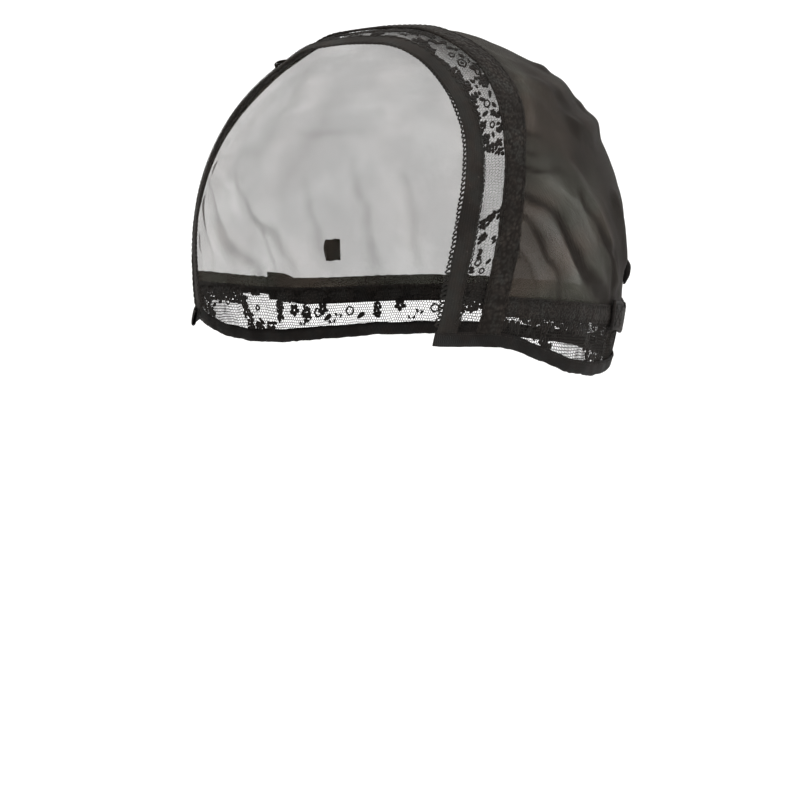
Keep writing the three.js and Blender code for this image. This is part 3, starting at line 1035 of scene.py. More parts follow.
@dataclass(frozen=True)
class SatinRibbon(Finish):
    """Narrow woven ribbon with a low gloss and fine cross ribs."""

    pitch: float = 0.36
    depth: float = 0.06
    polish: float = 0.14

    def _relief(self, bench: Bench, effects: Effects) -> Node:
        """Places the weave, drawn out across the ribbon.

        Args:
            bench: The material in work.
            effects: The shared node groups.

        Returns:
            The weave's node group.
        """
        drawn_out = {0: bench.cloth, 1: (1.0, 0.25, 1.0)}
        cloth = bench.graph.node("ShaderNodeVectorMath", drawn_out, operation="MULTIPLY").outputs[0]
        feeds = {"Cloth": cloth, "Pitch": self.pitch}
        return bench.graph.node("ShaderNodeGroup", feeds, node_tree=effects.weave)

    def _worn(self, bench: Bench, relief: Node) -> Socket:
        """Where the ribbon is polished: on its faded patches."""
        return bench.wear.outputs["Fade"]


@dataclass(frozen=True)
class TwistedThread(Finish):
    """Plied thread: sewing stitches, lace ground and figure outlines."""

    ply: float = 0.45
    depth: float = 0.05

    def _relief(self, bench: Bench, effects: Effects) -> Node:
        """Places the twist."""
        feeds = {"Cloth": bench.cloth, "Pitch": self.ply, "Slant": 0.8}
        return bench.graph.node("ShaderNodeGroup", feeds, node_tree=effects.weave)


FINISHES = (
    KnittedElastic("knitted elastic", (0.009, 0.0077, 0.0068), (0.033, 0.0275, 0.0238), 0.9, lint=1.0),
    PebbledCrepe("pebbled crepe", (0.009, 0.0073, 0.0062), (0.033, 0.027, 0.0228), 0.9, grain=1.15),
    SheerNet("sheer net", (0.014, 0.0112, 0.0092), (0.134, 0.108, 0.086), patch=26.0),
    PebbledCrepe("gathered casing", (0.009, 0.0075, 0.0065), (0.032, 0.0265, 0.023), 0.88, grain=0.7),
    TwistedThread("lace thread", (0.010, 0.0082, 0.0072), (0.026, 0.0215, 0.0185)),
    SatinRibbon("lace figures", (0.009, 0.0075, 0.0066), (0.024, 0.020, 0.0175), pitch=0.5),
    SatinRibbon("satin ribbon", (0.009, 0.008, 0.0074), (0.032, 0.0275, 0.0255), 0.8, 0.0, gloss=0.04),
    KnittedElastic("ribbed strap", (0.009, 0.0075, 0.0068), (0.032, 0.0268, 0.0245), 0.88, rib=1.5),
    TwistedThread("sewing thread", (0.012, 0.010, 0.0088), (0.036, 0.030, 0.026), 0.8),
)


@dataclass
class Wardrobe:
    """Every finish of the cap, made once."""

    effects: Effects = field(default_factory=Effects)
    made: dict[str, Material] = field(default_factory=dict)

    def __post_init__(self) -> None:
        """Makes the materials."""
        for finish in FINISHES:
            self.made[finish.name] = finish.material(self.effects)

    def pick(self, *names: str) -> list[Material]:
        """Materials by name."""
        return [self.made[name] for name in names]


# -------------------- pieces


@dataclass
class ClothPiece:
    """A piece of the cap: a sheet over the head form and the threads that are sewn to it."""

    wardrobe: Wardrobe
    node: str = ""
    slot: Slot = Slot.TAPE

    def make(self, mesh: ClothMesh, name: str, *finishes: str, stands_for: bool = False) -> Object:
        """Turns a mesh into a piece of the cap.

        Args:
            mesh: The mesh.
            name: The piece's name.
            *finishes: Names of its finishes.
            stands_for: Whether it stands for this class's node.

        Returns:
            The piece.
        """
        made = mesh.to_object(name, self.wardrobe.pick(*finishes))
        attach(made, BODY)
        if stands_for:
            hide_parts(self.node)
        return made

    def ribbon(
        self, strip: Strip, step: float, columns: int, outer: Height, inner: Height, edges: list[Line]
    ) -> ClothMesh:
        """Builds a closed ribbon over a strip.

        Args:
            strip: The strip that it lies on.
            step: Millimetres between its rows.
            columns: Cells across it.
            outer: Height of its upper face at (along, across in millimetres).
            inner: Height of its lower face in the same way.
            edges: Where its first and second edge run, as millimetres in from the strip's own.

        Returns:
            The mesh.
        """
        rows = int(round(strip.length / step))
        along = np.linspace(0, strip.length, rows + 1)[:, None]
        width = strip.width_at(along)
        first, second = edges[0](along), width - edges[1](along)
        across = first + (second - first) * np.linspace(0, 1, columns + 1)[None, :]
        share = across / width
        along = np.broadcast_to(along, share.shape)
        faces = [strip.raised(along, share, height(along, across))[0] for height in (outer, inner)]
        mesh = ClothMesh()
        mesh.sheet(*faces, np.stack([along, across], -1))
        return mesh

    def stitches(
        self,
        strip: Strip,
        mesh: ClothMesh,
        inset: float,
        from_far_edge: bool,
        lift: float,
        zigzag: float = 0.0,
        pitch: float = 2.3,
    ) -> None:
        """Adds a row of machine stitches along a strip.

        Args:
            strip: The strip that they run along.
            mesh: The mesh that takes them.
            inset: Millimetres in from the strip's edge.
            from_far_edge: Whether the inset is from the strip's second edge.
            lift: Height of the cloth that they lie on.
            zigzag: Width of the zigzag, or 0 for a straight row.
            pitch: Millimetres between stitches.
        """
        count = int((strip.length - 3) / pitch)
        starts = 1.5 + np.arange(count) * pitch
        t = np.linspace(0, 1, 5)[None, :]
        reach = pitch * (0.98 if zigzag else 0.8)
        along = starts[:, None] + t * reach
        swing = zigzag * (t - 0.5) * np.where(np.arange(count) % 2, 1, -1)[:, None]
        width = strip.width_at(along)
        across = (width - inset if from_far_edge else inset + 0 * width) + swing
        height = lift + 0.16 * np.sin(np.pi * t) - 0.06 + 0 * along
        mesh.tubes(*strip.raised(along, across / width, height), STITCH_RADIUS)

    def picots(
        self,
        strip: Strip,
        mesh: ClothMesh,
        at_far_edge: bool,
        lift: float,
        reach: Line,
        radius: float,
    ) -> None:
        """Adds small loops of yarn along one edge of a knitted tape.

        Args:
            strip: The strip that the tape lies on.
            mesh: The mesh that takes them.
            at_far_edge: Whether they stand on the strip's second edge.
            lift: Height of the loops.
            reach: How far they stand out from the selvedge, at places along the strip.
            radius: Yarn radius.
        """
        pitch = 1.85
        count = int((strip.length - 2) / pitch)
        noise = SoftNoise(31 if at_far_edge else 32)
        middles = (1.2 + np.arange(count) * pitch + 0.16 * noise.at(np.arange(count) * 0.9))[:, None]
        t = np.linspace(0, 1, 8)[None, :]
        along = middles - 0.42 * pitch * np.cos(np.pi * t)
        width = strip.width_at(along)
        room = reach(along)
        out = (room - radius + 0.25) * np.sin(np.pi * t) ** 0.6 - 0.25
        out = out * (1 + 0.2 * noise.at(middles * 0.31, 7.0))
        inset = room - out
        across = width - inset if at_far_edge else inset
        height = lift + 0.12 * np.sin(2 * np.pi * t) + 0 * along
        mesh.tubes(*strip.raised(along, across / width, height), radius)

    def fuzz(self, strip: Strip, mesh: ClothMesh, lift: float, inset: float, seed: int) -> None:
        """Adds short fibres that stand out of both edges of a strip.

        Args:
            strip: The strip.
            mesh: The mesh that takes them.
            lift: Height of the cloth's upper face at its edges.
            inset: Millimetres by which the cloth's edges lie inside the strip's.
            seed: Seed of their places.
        """
        rng = np.random.default_rng(seed)
        count = int(strip.length * 1.3)
        t = np.linspace(0, 1, 4)[None, :]
        root = rng.uniform(1, strip.length - 1, (count, 1))
        length = rng.uniform(0.5, 1.3, (count, 1))
        along = root + length * rng.uniform(-0.9, 0.9, (count, 1)) * t
        width = strip.width_at(along)
        out = inset + 0.3 - length * t
        across = np.where(rng.uniform(size=(count, 1)) < 0.5, out, width - out)
        height = lift + length * rng.uniform(-0.2, 0.7, (count, 1)) * t**2
        mesh.tubes(*strip.raised(along, across / width, height), 0.05, sides=3)


@dataclass
class FrontTape(ClothPiece):
    """The knitted elastic along the face, with small loops on both edges."""

    node: str = "front_tape"
    slot: Slot = Slot.TAPE
    front_loop: float = 1.8
    rear_loop: float = 0.95
    under: float = 0.55
    over: float = 1.25

    def build(self) -> Object:
        """Builds the tape, its loops and its stitches.

        Returns:
            The tape.
        """
        strip = Strip.arch(ARCH.line("tape_front"), ARCH.line("tape_rear"), HEM_HEIGHT + SEAM_GAP - 1.2)
        noise = SoftNoise(5)

        def outer(along: Array, across: Array) -> Array:
            """Height of the upper face."""
            creases = 0.1 * noise.at(along / 7, across / 5) + 0.05 * noise.at(along / 1.9, across / 1.6)
            return self.over + 0.04 * np.abs(np.sin(np.pi * across / 1.1)) + creases

        def front_room(along: Array) -> Array:
            """Room for the front loops, which lie closer over the top of the head."""
            down = np.abs(np.interp(along, strip.along, strip.stations))
            return self.front_loop * (0.5 + 0.5 * smoothstep(down, 24, 48))

        def rear_room(along: Array) -> Array:
            """Room for the rear loops."""
            return self.rear_loop + 0 * along

        rooms = ((front_room, 3.0), (rear_room, 9.0))
        edges = [wavering(room, noise, shift, (0.16, 6), (0.08, 1.4)) for room, shift in rooms]
        inner = waved(self.under, noise, 0.08, 7, 5)
        body = self.ribbon(strip, 0.85, 26, outer, inner, edges)
        made = self.make(body, "front_tape_knit", "knitted elastic", stands_for=True)
        yarn = ClothMesh()
        self.picots(strip, yarn, False, self.over - 0.3, front_room, 0.36)
        self.picots(strip, yarn, True, self.over - 0.35, rear_room, 0.24)
        self.fuzz(strip, yarn, self.over - 0.1, 0.9, 51)
        loops = self.make(yarn, "front_tape_loops", "knitted elastic")
        thread = ClothMesh()
        self.stitches(strip, thread, 1.7, True, self.over + 0.14, zigzag=1.2, pitch=1.7)
        sewn = self.make(thread, "front_tape_stitches", "sewing thread")
        return made


@dataclass
class CrownBand(ClothPiece):
    """The wider crepe band over the crown, between the front lace and the net."""

    node: str = "crown_band"
    slot: Slot = Slot.BAND
    under: float = 0.55
    over: float = 1.3
    seam: float = 1.5

    def build(self) -> Object:
        """Builds the band and its two rows of stitches.

        Returns:
            The band.
        """
        strip = Strip.arch(ARCH.line("band_front"), ARCH.line("band_rear"), HEM_HEIGHT + SEAM_GAP - 1.2)
        noise = SoftNoise(11)
        waves = waved(self.over, noise, 0.12, 9, 6)

        def outer(along: Array, across: Array) -> Array:
            """Height of the upper face: pebbles, waves and the hollows of its stitches.

            Args:
                along: Millimetres along the band.
                across: Millimetres across it.

            Returns:
                The height above the head form.
            """
            pebbles = 0.17 * noise.at(along / 0.95, across / 0.95) + 0.08 * noise.at(along / 2.3, across / 2)
            width = strip.width_at(along)
            return waves(along, across) + pebbles - 0.16 * hollows(across, width, self.seam, 0.5)

        cuts = [wavering(lambda along: 0.35, noise, shift, (0.3, 4.5), (0.2, 1.1)) for shift in (1.0, 6.0)]
        inner = waved(self.under, noise, 0.1, 9, 6)
        body = self.ribbon(strip, 0.52, 25, outer, inner, cuts)
        made = self.make(body, "crown_band_crepe", "pebbled crepe", stands_for=True)
        thread = ClothMesh()
        for far in (False, True):
            self.stitches(strip, thread, self.seam, far, self.over + 0.06)
        self.fuzz(strip, thread, self.over - 0.1, 0.4, 52)
        sewn = self.make(thread, "crown_band_stitches", "sewing thread")
        return made


@dataclass(frozen=True)
class Fold:
    """A gather of the net along a path on the left half of the crown.

    The path's places are angles round the head from the ear line and down from its top, in
    degrees. A crease starts and ends softly, and widens along its path. A puff doesn't: its
    widening is None.
    """

    path: tuple[tuple[float, float], ...]
    height: float
    spread: float
    widening: float | None = None


# Besides lifting the net, a puff paints its outer face paler as a painted highlight, and a negative one
# darker as painted shade.
PUFFS = (
    Fold(((-29, 80), (-20, 96)), 1.3, 4),
    Fold(((-25, 73), (-7, 96)), 1.9, 5),
    Fold(((-19, 67), (7, 97)), 2.2, 6),
    Fold(((-4, 66), (21, 97)), 2.0, 5.5),
    Fold(((25, 76), (30, 91)), 1.9, 6),
    Fold(((52, 68), (58, 98)), 1.8, 6),
    Fold(((70, 66), (72, 99)), 1.7, 6),
    Fold(((86, 72), (86, 99)), 1.6, 5),
    Fold(((10, 41), (50, 45)), 2.0, 6.5),
    Fold(((12, 52.5), (50, 57)), 2.5, 4.8),
    Fold(((10, 65), (48, 68)), -1.3, 6.5),
    Fold(((20, 66), (36, 72)), -0.8, 5.0),
    Fold(((36, 36.5), (50, 38)), 1.3, 3.5),
    Fold(((36, 50), (50, 51.5)), 1.1, 3.2),
    Fold(((-4, 20), (44, 26)), -0.8, 8),
)
# Besides shaping the net, a crease paints its colour: darker as painted shade along those with a negative
# height, paler along the others.
CREASES = (
    Fold(((-26, 53), (-19.5, 53.6), (-13, 54.5)), -0.55, 0.9, 0.5),
    Fold(((-26, 58), (-21.8, 58.2), (-17, 59)), -0.4, 0.9, 0.4),
    Fold(((-29, 61), (-23.2, 62.5), (-15.8, 64.3), (-9, 63.5)), -0.6, 1.1, 0.5),
    Fold(((-32, 68.5), (-26, 70), (-22.2, 72.2), (-16.8, 75.6), (-14, 79.3)), -1.0, 1.1, 0.5),
    Fold(((-18, 75), (-14, 79.3), (-10.8, 84.3), (-4.8, 90), (7.8, 98.1), (12, 106)), -1.5, 1.5, 2.0),
    Fold(((-34, 73), (-27.2, 74.5), (-24, 79.7), (-21, 85.9), (-17, 90.9), (-15, 104)), -1.25, 1.1, 0.8),
    Fold(((-35, 78), (-30.2, 82.7), (-27.2, 87.9), (-23, 103)), -0.7, 0.9, 0.4),
    Fold(((-4, 68), (-2, 72.9), (4, 78.2), (7.2, 83.4), (17.2, 89), (22.8, 96.1), (26, 106)), -1.3, 1.5, 0.7),
    Fold(((3, 79), (12, 86), (15, 93), (19, 105)), -0.9, 1.2, 0.3),
    Fold(((8, 30), (11, 40), (12.5, 49.8), (9.5, 56.4), (1, 64.7), (1, 73)), -0.7, 6.0, 0.4),
    Fold(((30, 44), (34, 54), (24, 68), (16, 82)), -0.45, 5.0, 0.5),
    Fold(((0, 34), (-4.2, 37.2), (-16.8, 50.9), (-20, 56)), 0.55, 2.6, 0.3),
    Fold(((-22, 66), (-15, 69.5), (-4.5, 73.2), (-0.8, 81.5), (6.8, 88.8)), 0.75, 1.9, 0.4),
    Fold(((-27, 72), (-19.8, 79), (-12, 88.8), (-4.2, 100)), 0.75, 1.7, 0.8),
    Fold(((-31, 78), (-25, 90), (-21, 104)), 0.5, 1.6, 0.6),
    Fold(((28, 72), (33, 88), (38, 104)), -0.9, 1.5, 0.8),
    Fold(((44, 70), (49, 86), (52, 104)), -1.0, 1.6, 0.9),
    Fold(((59, 74), (62, 88), (64, 104)), -0.9, 1.4, 0.9),
    Fold(((75, 70), (78, 85), (78, 104)), -1.0, 1.6, 0.9),
    Fold(((88, 76), (90, 104)), -0.8, 1.5, 0.8),
    Fold(((14, 58), (32, 60.5), (52, 63)), -0.5, 1.9, 0.3),
)


@dataclass
class CrownNet(ClothPiece):
    """The sheer net over the back of the crown, gathered into its casing.

    `degree` is how many millimetres of cloth lie over one degree of the head form.
    """

    node: str = "crown_net"
    slot: Slot = Slot.NET
    columns: int = 260
    rows: int = 120
    wall: float = 0.3
    degree: float = 1.55

    def _tilt(self) -> float:
        """How far the net's pole leans forward from the top of the head."""
        front, _ = HEAD.on_arch(np.array(0.0), band_middle(np.array(0.0)) + HIDDEN_GAP)
        return math.atan2(-front[1], front[2] + HEAD.dome_height)

    def _from_pole(self, polar: Array, around: Array) -> Spots:
        """Finds places round the net's pole, the middle of the crown band.

        Args:
            polar: Degrees away from the pole.
            around: Degrees round it from the face.

        Returns:
            Points and normals there.
        """
        p, a = np.radians(polar), np.radians(around)
        x, y, z = np.sin(p) * np.sin(a), -np.sin(p) * np.cos(a), np.cos(p) + 0 * a
        c, s = math.cos(self._tilt()), math.sin(self._tilt())
        return HEAD.on_ray(np.stack([x, y * c - z * s, y * s + z * c], -1))

    def _reach(self, polar: Array) -> Array:
        """Finds how far the net goes round its pole, from straight back.

        Args:
            polar: Degrees away from the pole.

        Returns:
            Degrees round it.
        """

        def behind(around: Array) -> Array:
            """How far a place lies behind the net's front edge."""
            points, _ = self._from_pole(polar, 180 - around)
            return points[..., 1] - band_middle(down_of(points)) - HIDDEN_GAP

        return falls_through_zero(behind, np.full(polar.shape, 40.0), np.full(polar.shape, 150.0))

    @staticmethod
    def _folded(points: Array, folds: tuple[Fold, ...]) -> Array:
        """Sums the heights of folds.

        Args:
            points: Places on the head form.
            folds: The folds.

        Returns:
            The height there.
        """
        rise = points[..., 2] + HEAD.dome_height
        far = np.linalg.norm(np.stack([points[..., 0], points[..., 1], rise], -1), axis=-1)
        polar = np.degrees(np.arccos(np.clip(rise / far, -1, 1)))
        around = around_of(points)
        arc = math.radians(HEAD.dome_height)
        shrink = np.sin(np.radians(polar)) * arc
        x, y = around * shrink, polar * arc
        total = np.zeros(polar.shape)
        for fold in folds:
            nearest = np.full(polar.shape, 1e9)
            passed = np.zeros(polar.shape)
            for leg, (start, end) in enumerate(zip(fold.path[:-1], fold.path[1:])):
                dx, dy = (end[0] - start[0]) * shrink, (end[1] - start[1]) * arc
                ahead_x, ahead_y = x - start[0] * shrink, y - start[1] * arc
                t = np.clip((ahead_x * dx + ahead_y * dy) / (dx**2 + dy**2), 0, 1)
                away = np.hypot(ahead_x - t * dx, ahead_y - t * dy)
                passed = np.where(away < nearest, (leg + t) / (len(fold.path) - 1), passed)
                nearest = np.minimum(nearest, away)
            strength, reach = 1.0, fold.spread
            if fold.widening is not None:
                strength = np.sin(np.pi * np.clip(passed, 0, 1)) ** 0.6
                reach = fold.spread * (1 + fold.widening * passed)
            total += fold.height * strength * np.exp(-((nearest / reach) ** 2))
        return total

    @staticmethod
    def _thinning(points: Array) -> Array:
        """How far the net's cover is opened: 0 at the left front, near 1 at the right and the back.

        Args:
            points: Places on the head form.

        Returns:
            A share for each place.
        """
        rightward = smoothstep(-points[..., 0], -30, 40)
        forward = points @ np.array([0.49, -0.85, 0.2]) + 32
        return 1 - (1 - rightward) * (1 - 0.88 * smoothstep(-forward, -12, 70))

    @staticmethod
    def _cover_and_painted_shade(points: Array, thin: Array, creased: Array, puffed: Array, slack: Array) -> Spots:
        """How much the net covers, and its painted shade: more in its folds, and less where it is pulled
        tight.

        Args:
            points: Places on the head form.
            thin: How far the cover is opened there.
            creased: Height of the creases.
            puffed: Height of the puffs.
            slack: Height of the net's own unevenness.

        Returns:
            The cover of the outer face and of the inner face, which the net's colour also takes as painted
            shade.
        """
        # The net's colour reads these values too: painted shade darker in the creases and over the back,
        # paler where the net is pulled tight or opened.
        tight = smoothstep(-points[..., 2], 30, 85) * smoothstep(-points[..., 1], -45, 25)
        back = smoothstep(points[..., 1], 0, 45)
        base = 0.82 + (0.4 * back - 0.25 * tight) * (1 - thin) - 0.65 * thin
        folds = np.clip(-0.3 * creased, -0.2, 0.42) + 0.12 * slack
        depth = base + folds * (0.75 - 0.35 * thin)
        # The outer face takes extra painted shade in the creases and a painted highlight on the puffs.
        return depth + (0.7 * folds - 0.05 * puffed) * (1 - thin), depth

    def build(self) -> Object:
        """Builds the net.

        Returns:
            The net.
        """
        u = np.linspace(0, 1, self.columns + 1)[:, None]
        v = np.linspace(0, 1, self.rows + 1)[None, :]

        def spots(polar: Array) -> Spots:
            """The net's places at angles from its pole."""
            return self._from_pole(polar, 180 + (1 - 2 * u) * self._reach(polar))

        def above_end(polar: Array) -> Array:
            """Height above the net's lower edge."""
            points, _ = spots(polar)
            return points[..., 2] - LOWER.read("casing", around_of(points)) - HIDDEN_GAP + 1.5

        end = falls_through_zero(above_end, np.full(u.shape, 60.0), np.full(u.shape, 125.0))
        polar = np.maximum(v, 1e-4) * end
        points, normals = spots(polar)
        ring = HEAD.dome_height * np.sin(np.radians(polar))
        from_tape = np.minimum(u, 1 - u) * 2 * np.radians(self._reach(np.maximum(polar, 1.0))) * ring
        from_casing = (1 - v) * np.radians(end) * HEAD.dome_height
        free = smoothstep(from_tape, 7.5, 17) * smoothstep(from_casing, 8.5, 15)
        near = smoothstep(from_tape, 6.5, 10) * smoothstep(from_casing, 4.5, 9)
        noise = SoftNoise(21)
        slack = 0.28 * noise.at(points[..., 0] / 8 + 40, points[..., 2] / 11 + points[..., 1] / 13)
        slack += 0.12 * noise.at(points[..., 0] / 3.1 + 40, points[..., 2] / 4.7 + points[..., 1] / 3.9)
        pucker = 0.35 * noise.at(u * 95 + 3, 2.0) * np.exp(-from_casing / 9)
        sway = [noise.at(points[..., i] / 9 + 20 * i, points[..., 2] / 8 + 70) for i in (0, 1, 1)]
        creased = self._folded(points + 1.1 * np.stack(sway, -1), CREASES)
        creased *= 0.9 + 0.35 * noise.at(points[..., 1] / 7 + 30, points[..., 2] / 7)
        puffed = self._folded(points, PUFFS) * free
        thin = self._thinning(points)
        lift = 0.4 + puffed + (creased * (1 - 0.5 * thin) + slack + pucker) * near
        lift = np.maximum(lift, 0.35 - 0.25 * near)
        outer = points + normals * lift[..., None]
        inner = points + normals * (lift - self.wall)[..., None]
        cloth = np.stack([u * end * 2 * self.degree + 0 * v, v * end * self.degree], -1)
        mesh = ClothMesh()
        # Each corner carries the net's cover, which its colour also takes as painted shade.
        mesh.sheet(outer, inner, cloth, self._cover_and_painted_shade(points, thin, creased, puffed, slack))
        made = self.make(mesh, "crown_net_sheer", "sheer net", stands_for=True)
        return made


@dataclass
class NetCasing(ClothPiece):
    """The channel stitched along the net's lower edge, puckered by its elastic."""

    node: str = "net_casing"
    slot: Slot = Slot.NET
    under: float = 0.6
    over: float = 1.3
    seam: float = 1.3

    def build(self) -> Object:
        """Builds the casing and its two rows of stitches.

        Returns:
            The casing.
        """
        upper = LOWER.line("casing", CASING_HEIGHT / 2)
        lower = LOWER.line("casing", -CASING_HEIGHT / 2)
        front_edge = ARCH.line("band_rear", SEAM_GAP - 0.8)
        start = (around_of_arch(front_edge, upper), around_of_arch(front_edge, lower))
        strip = Strip.back(start, upper, lower)
        noise = SoftNoise(41)

        def outer(along: Array, across: Array) -> Array:
            """Height of the upper face: its swell, its puckers and the hollows of its stitches.

            Args:
                along: Millimetres along the casing.
                across: Millimetres across it.

            Returns:
                The height above the head form.
            """
            between = np.sin(np.pi * np.clip((across - 1.1) / (CASING_HEIGHT - 2.2), 0, 1))
            puckers = 0.3 * noise.at(along / 2.1, across / 9) + 0.14 * noise.at(along / 0.9, across / 4)
            sewn = hollows(across, CASING_HEIGHT, self.seam, 0.4)
            return self.over + 0.3 * between + puckers * (0.45 + 0.55 * between) - 0.25 * sewn

        cuts = [wavering(lambda along: 0.25, noise, shift, (0.2, 2.6)) for shift in (2.0, 8.0)]
        inner = waved(self.under, noise, 0.08, 2.1, 9)
        body = self.ribbon(strip, 0.55, 20, outer, inner, cuts)
        made = self.make(body, "net_casing_channel", "gathered casing", stands_for=True)
        thread = ClothMesh()
        for far in (False, True):
            self.stitches(strip, thread, self.seam, far, self.over - 0.02)
        sewn = self.make(thread, "net_casing_stitches", "sewing thread")
        return made


@dataclass(frozen=True)
class Figure:
    """A figure of the lace: what it is, where it lies on the left half, its size and its turn.

    `at` is the strip's own angle, `across` a share of its width, `size` millimetres from the middle
    to the tip and `wide` the same across, for a patch of close cloth.
    """

    kind: Motif
    at: float
    across: float
    size: float
    turn: float = 0.0
    wide: float = 0.0


def figures(rows: dict[Motif, tuple[tuple[float, float, float, float], ...]]) -> tuple[Figure, ...]:
    """Makes figures from rows of numbers.

    Args:
        rows: Rows of (at, across, size, turn), or for close cloth of (at, across, size, wide).

    Returns:
        The figures.
    """
    made = []
    for kind, group in rows.items():
        last = "wide" if kind is Motif.CLOTH else "turn"
        for row in group:
            made.append(Figure(kind, *row[:3], **{last: row[3]}))
    return tuple(made)


def turned(x: Array, y: Array, degrees: float) -> Array:
    """Places of a flat figure, turned about its middle."""
    c, s = math.cos(math.radians(degrees)), math.sin(math.radians(degrees))
    return np.stack([x * c - y * s, x * s + y * c], -1)


@dataclass
class LaceStrip(ClothPiece):
    """A strip of lace: open six-sided ground, figures of close work and cord round their edges."""

    slot: Slot = Slot.LACE
    pitch: float = 1.15
    thread: float = 0.068
    level: float = 0.25
    ground_from: float = 0.0
    ground_to: float = 1.0

    def _ground(self, strip: Strip, mesh: ClothMesh, patches: Array, seed: int) -> None:
        """Adds the open ground.

        Args:
            strip: The strip that it lies on.
            mesh: The mesh that takes it.
            patches: Patches of close cloth, rows of (along, across in mm, half length, half width).
            seed: Seed of its unevenness.
        """
        side = self.pitch / math.sqrt(3)
        widest = float(strip.width.max())
        rows = int(widest / (1.5 * side)) + 3
        columns = int(strip.length / self.pitch) + 3
        i, j = np.meshgrid(np.arange(columns), np.arange(rows), indexing="ij")
        x = (i + 0.5 * (j % 2)) * self.pitch
        y = j * 1.5 * side
        noise = SoftNoise(seed)
        starts, ends = [], []
        for dx, dy in ((0.0, -side), (self.pitch / 2, side / 2), (-self.pitch / 2, side / 2)):
            starts.append(np.stack([x, y], -1).reshape(-1, 2))
            ends.append(np.stack([x + dx, y + dy], -1).reshape(-1, 2))
        pairs = np.stack([np.concatenate(starts), np.concatenate(ends)], axis=1)
        x, y = pairs[..., 0] / 4, pairs[..., 1] / 4
        pairs = pairs + 0.42 * np.stack([noise.at(x, y), noise.at(x + 90, y)], -1)
        low, high = self.ground_from, self.ground_to
        width = strip.width_at(pairs[..., 0])
        share = pairs[..., 1] / widest * (high - low) * widest / width + low
        inside = (pairs[..., 0] > 0) & (pairs[..., 0] < strip.length) & (share > low) & (share < high)
        keep = inside.all(axis=1)
        middle_along = pairs[..., 0].mean(axis=1)
        middle_across = (share * width).mean(axis=1)
        for along, across, half_length, half_width in patches:
            beside = (middle_along - along) / (0.85 * half_length)
            above = (middle_across - across) / (0.85 * half_width)
            keep &= beside**2 + above**2 > 1
        kept = pairs[keep]
        sway = self.level + 0.1 * noise.at(kept[..., 0] / 3, kept[..., 1] / 3)
        lines = strip.raised(kept[..., 0], share[keep], sway)
        mesh.tubes(*lines, self._thread_at(strip, kept[..., 0]), sides=3)

    def _thread_at(self, strip: Strip, along: Array) -> Array:
        """Radius of the ground's threads at places along the strip."""
        return np.full(along.shape, self.thread)

    @staticmethod
    def _petal(length: float, width: float, turn: float, away: float = 0.0, places: int = 10) -> Array:
        """Outline of a petal or a leaf in millimetres.

        Args:
            length: Its length.
            width: Its width.
            turn: Degrees by which it is turned.
            away: How far its foot lies from the middle.
            places: Corners of the outline.

        Returns:
            The corners.
        """
        t = np.arange(places) * 2 * np.pi / places
        x = away + length / 2 * (1 + np.cos(t))
        y = width / 2 * np.sin(t) * (1 - 0.28 * np.cos(t))
        return turned(x, y, turn)

    def _outlines(
        self, figure: Figure, rng: np.random.Generator
    ) -> tuple[list[Array], list[Array], list[Array]]:
        """Flat shapes and cords of one figure, in millimetres round its middle.

        Args:
            figure: The figure.
            rng: Source of its small unevenness.

        Returns:
            Closed outlines, closed cords and open cords.
        """
        size, turn = figure.size, figure.turn
        shapes, loops, cords = [], [], []
        if figure.kind is Motif.FLOWER:
            for petal in range(5):
                angle = turn + 72 * petal + rng.uniform(-7, 7)
                shapes.append(self._petal(size * 0.74, size * 0.62, angle, size * 0.26))
                loops.append(self._petal(size * 0.8, size * 0.7, angle, size * 0.23))
            loops.append(self._petal(size * 0.42, size * 0.42, 0, -size * 0.21))
        elif figure.kind is Motif.RINGLET:
            t = np.arange(15) * 2 * np.pi / 15
            lobes = 1 + 0.1 * np.cos(5 * t + math.radians(turn))
            for part in (0.68, 0.79, 0.9):
                reach = part * size * (lobes + rng.uniform(-0.03, 0.03, 15))
                loops.append(np.stack([reach * np.cos(t), reach * np.sin(t)], -1))
        elif figure.kind is Motif.LEAF:
            shapes.append(self._petal(size * 2, size * 0.85, turn, -size, 12))
            loops.append(self._petal(size * 2.1, size * 0.95, turn, -size * 1.05, 12))
        elif figure.kind is Motif.SPRIG:
            t = np.linspace(-1, 1, 12)
            cords.append(turned(size * t, 0.35 * size * np.sin(t * 2.6), turn))
            for spot in (-0.7, -0.25, 0.25, 0.7):
                foot = cords[-1][int((spot + 1) / 2 * 11)]
                lean = turn + (58 if spot * 7 % 2 > 1 else -58) + rng.uniform(-12, 12)
                shapes.append(foot + self._petal(size * 0.42, size * 0.24, lean, 0.1))
        else:
            spacing = 1.45
            across = np.arange(-figure.wide, figure.wide + spacing, spacing)
            for row, y in enumerate(across):
                for x in np.arange(-size, size + spacing, spacing):
                    px = x + spacing / 2 * (row % 2) + rng.uniform(-0.3, 0.3)
                    py = y + rng.uniform(-0.3, 0.3)
                    if (px / size) ** 2 + (py / figure.wide) ** 2 < 1.05:
                        tuft = self._petal(2.3, 1.5, rng.uniform(0, 360), -1.15, 8)
                        shapes.append(np.array([px, py]) + tuft)
        return shapes, loops, cords

    def _figures(self, strip: Strip, mesh: ClothMesh, figures: tuple[Figure, ...], seed: int) -> Array:
        """Adds the figures on both halves of the strip.

        Args:
            strip: The strip that they lie on.
            mesh: The mesh that takes them.
            figures: The figures of the left half.
            seed: Seed of their unevenness.

        Returns:
            The patches of close cloth, rows of (along, across in mm, half length, half width).
        """
        rng = np.random.default_rng(seed)
        patches: list[tuple[float, float, float, float]] = []
        stores: list[dict[int, list[Array]]] = [{}, {}, {}]
        for side in Side:
            for figure in figures:
                along = float(self.along_at(strip, figure.at, side))
                width = float(strip.width_at(np.array(along)))

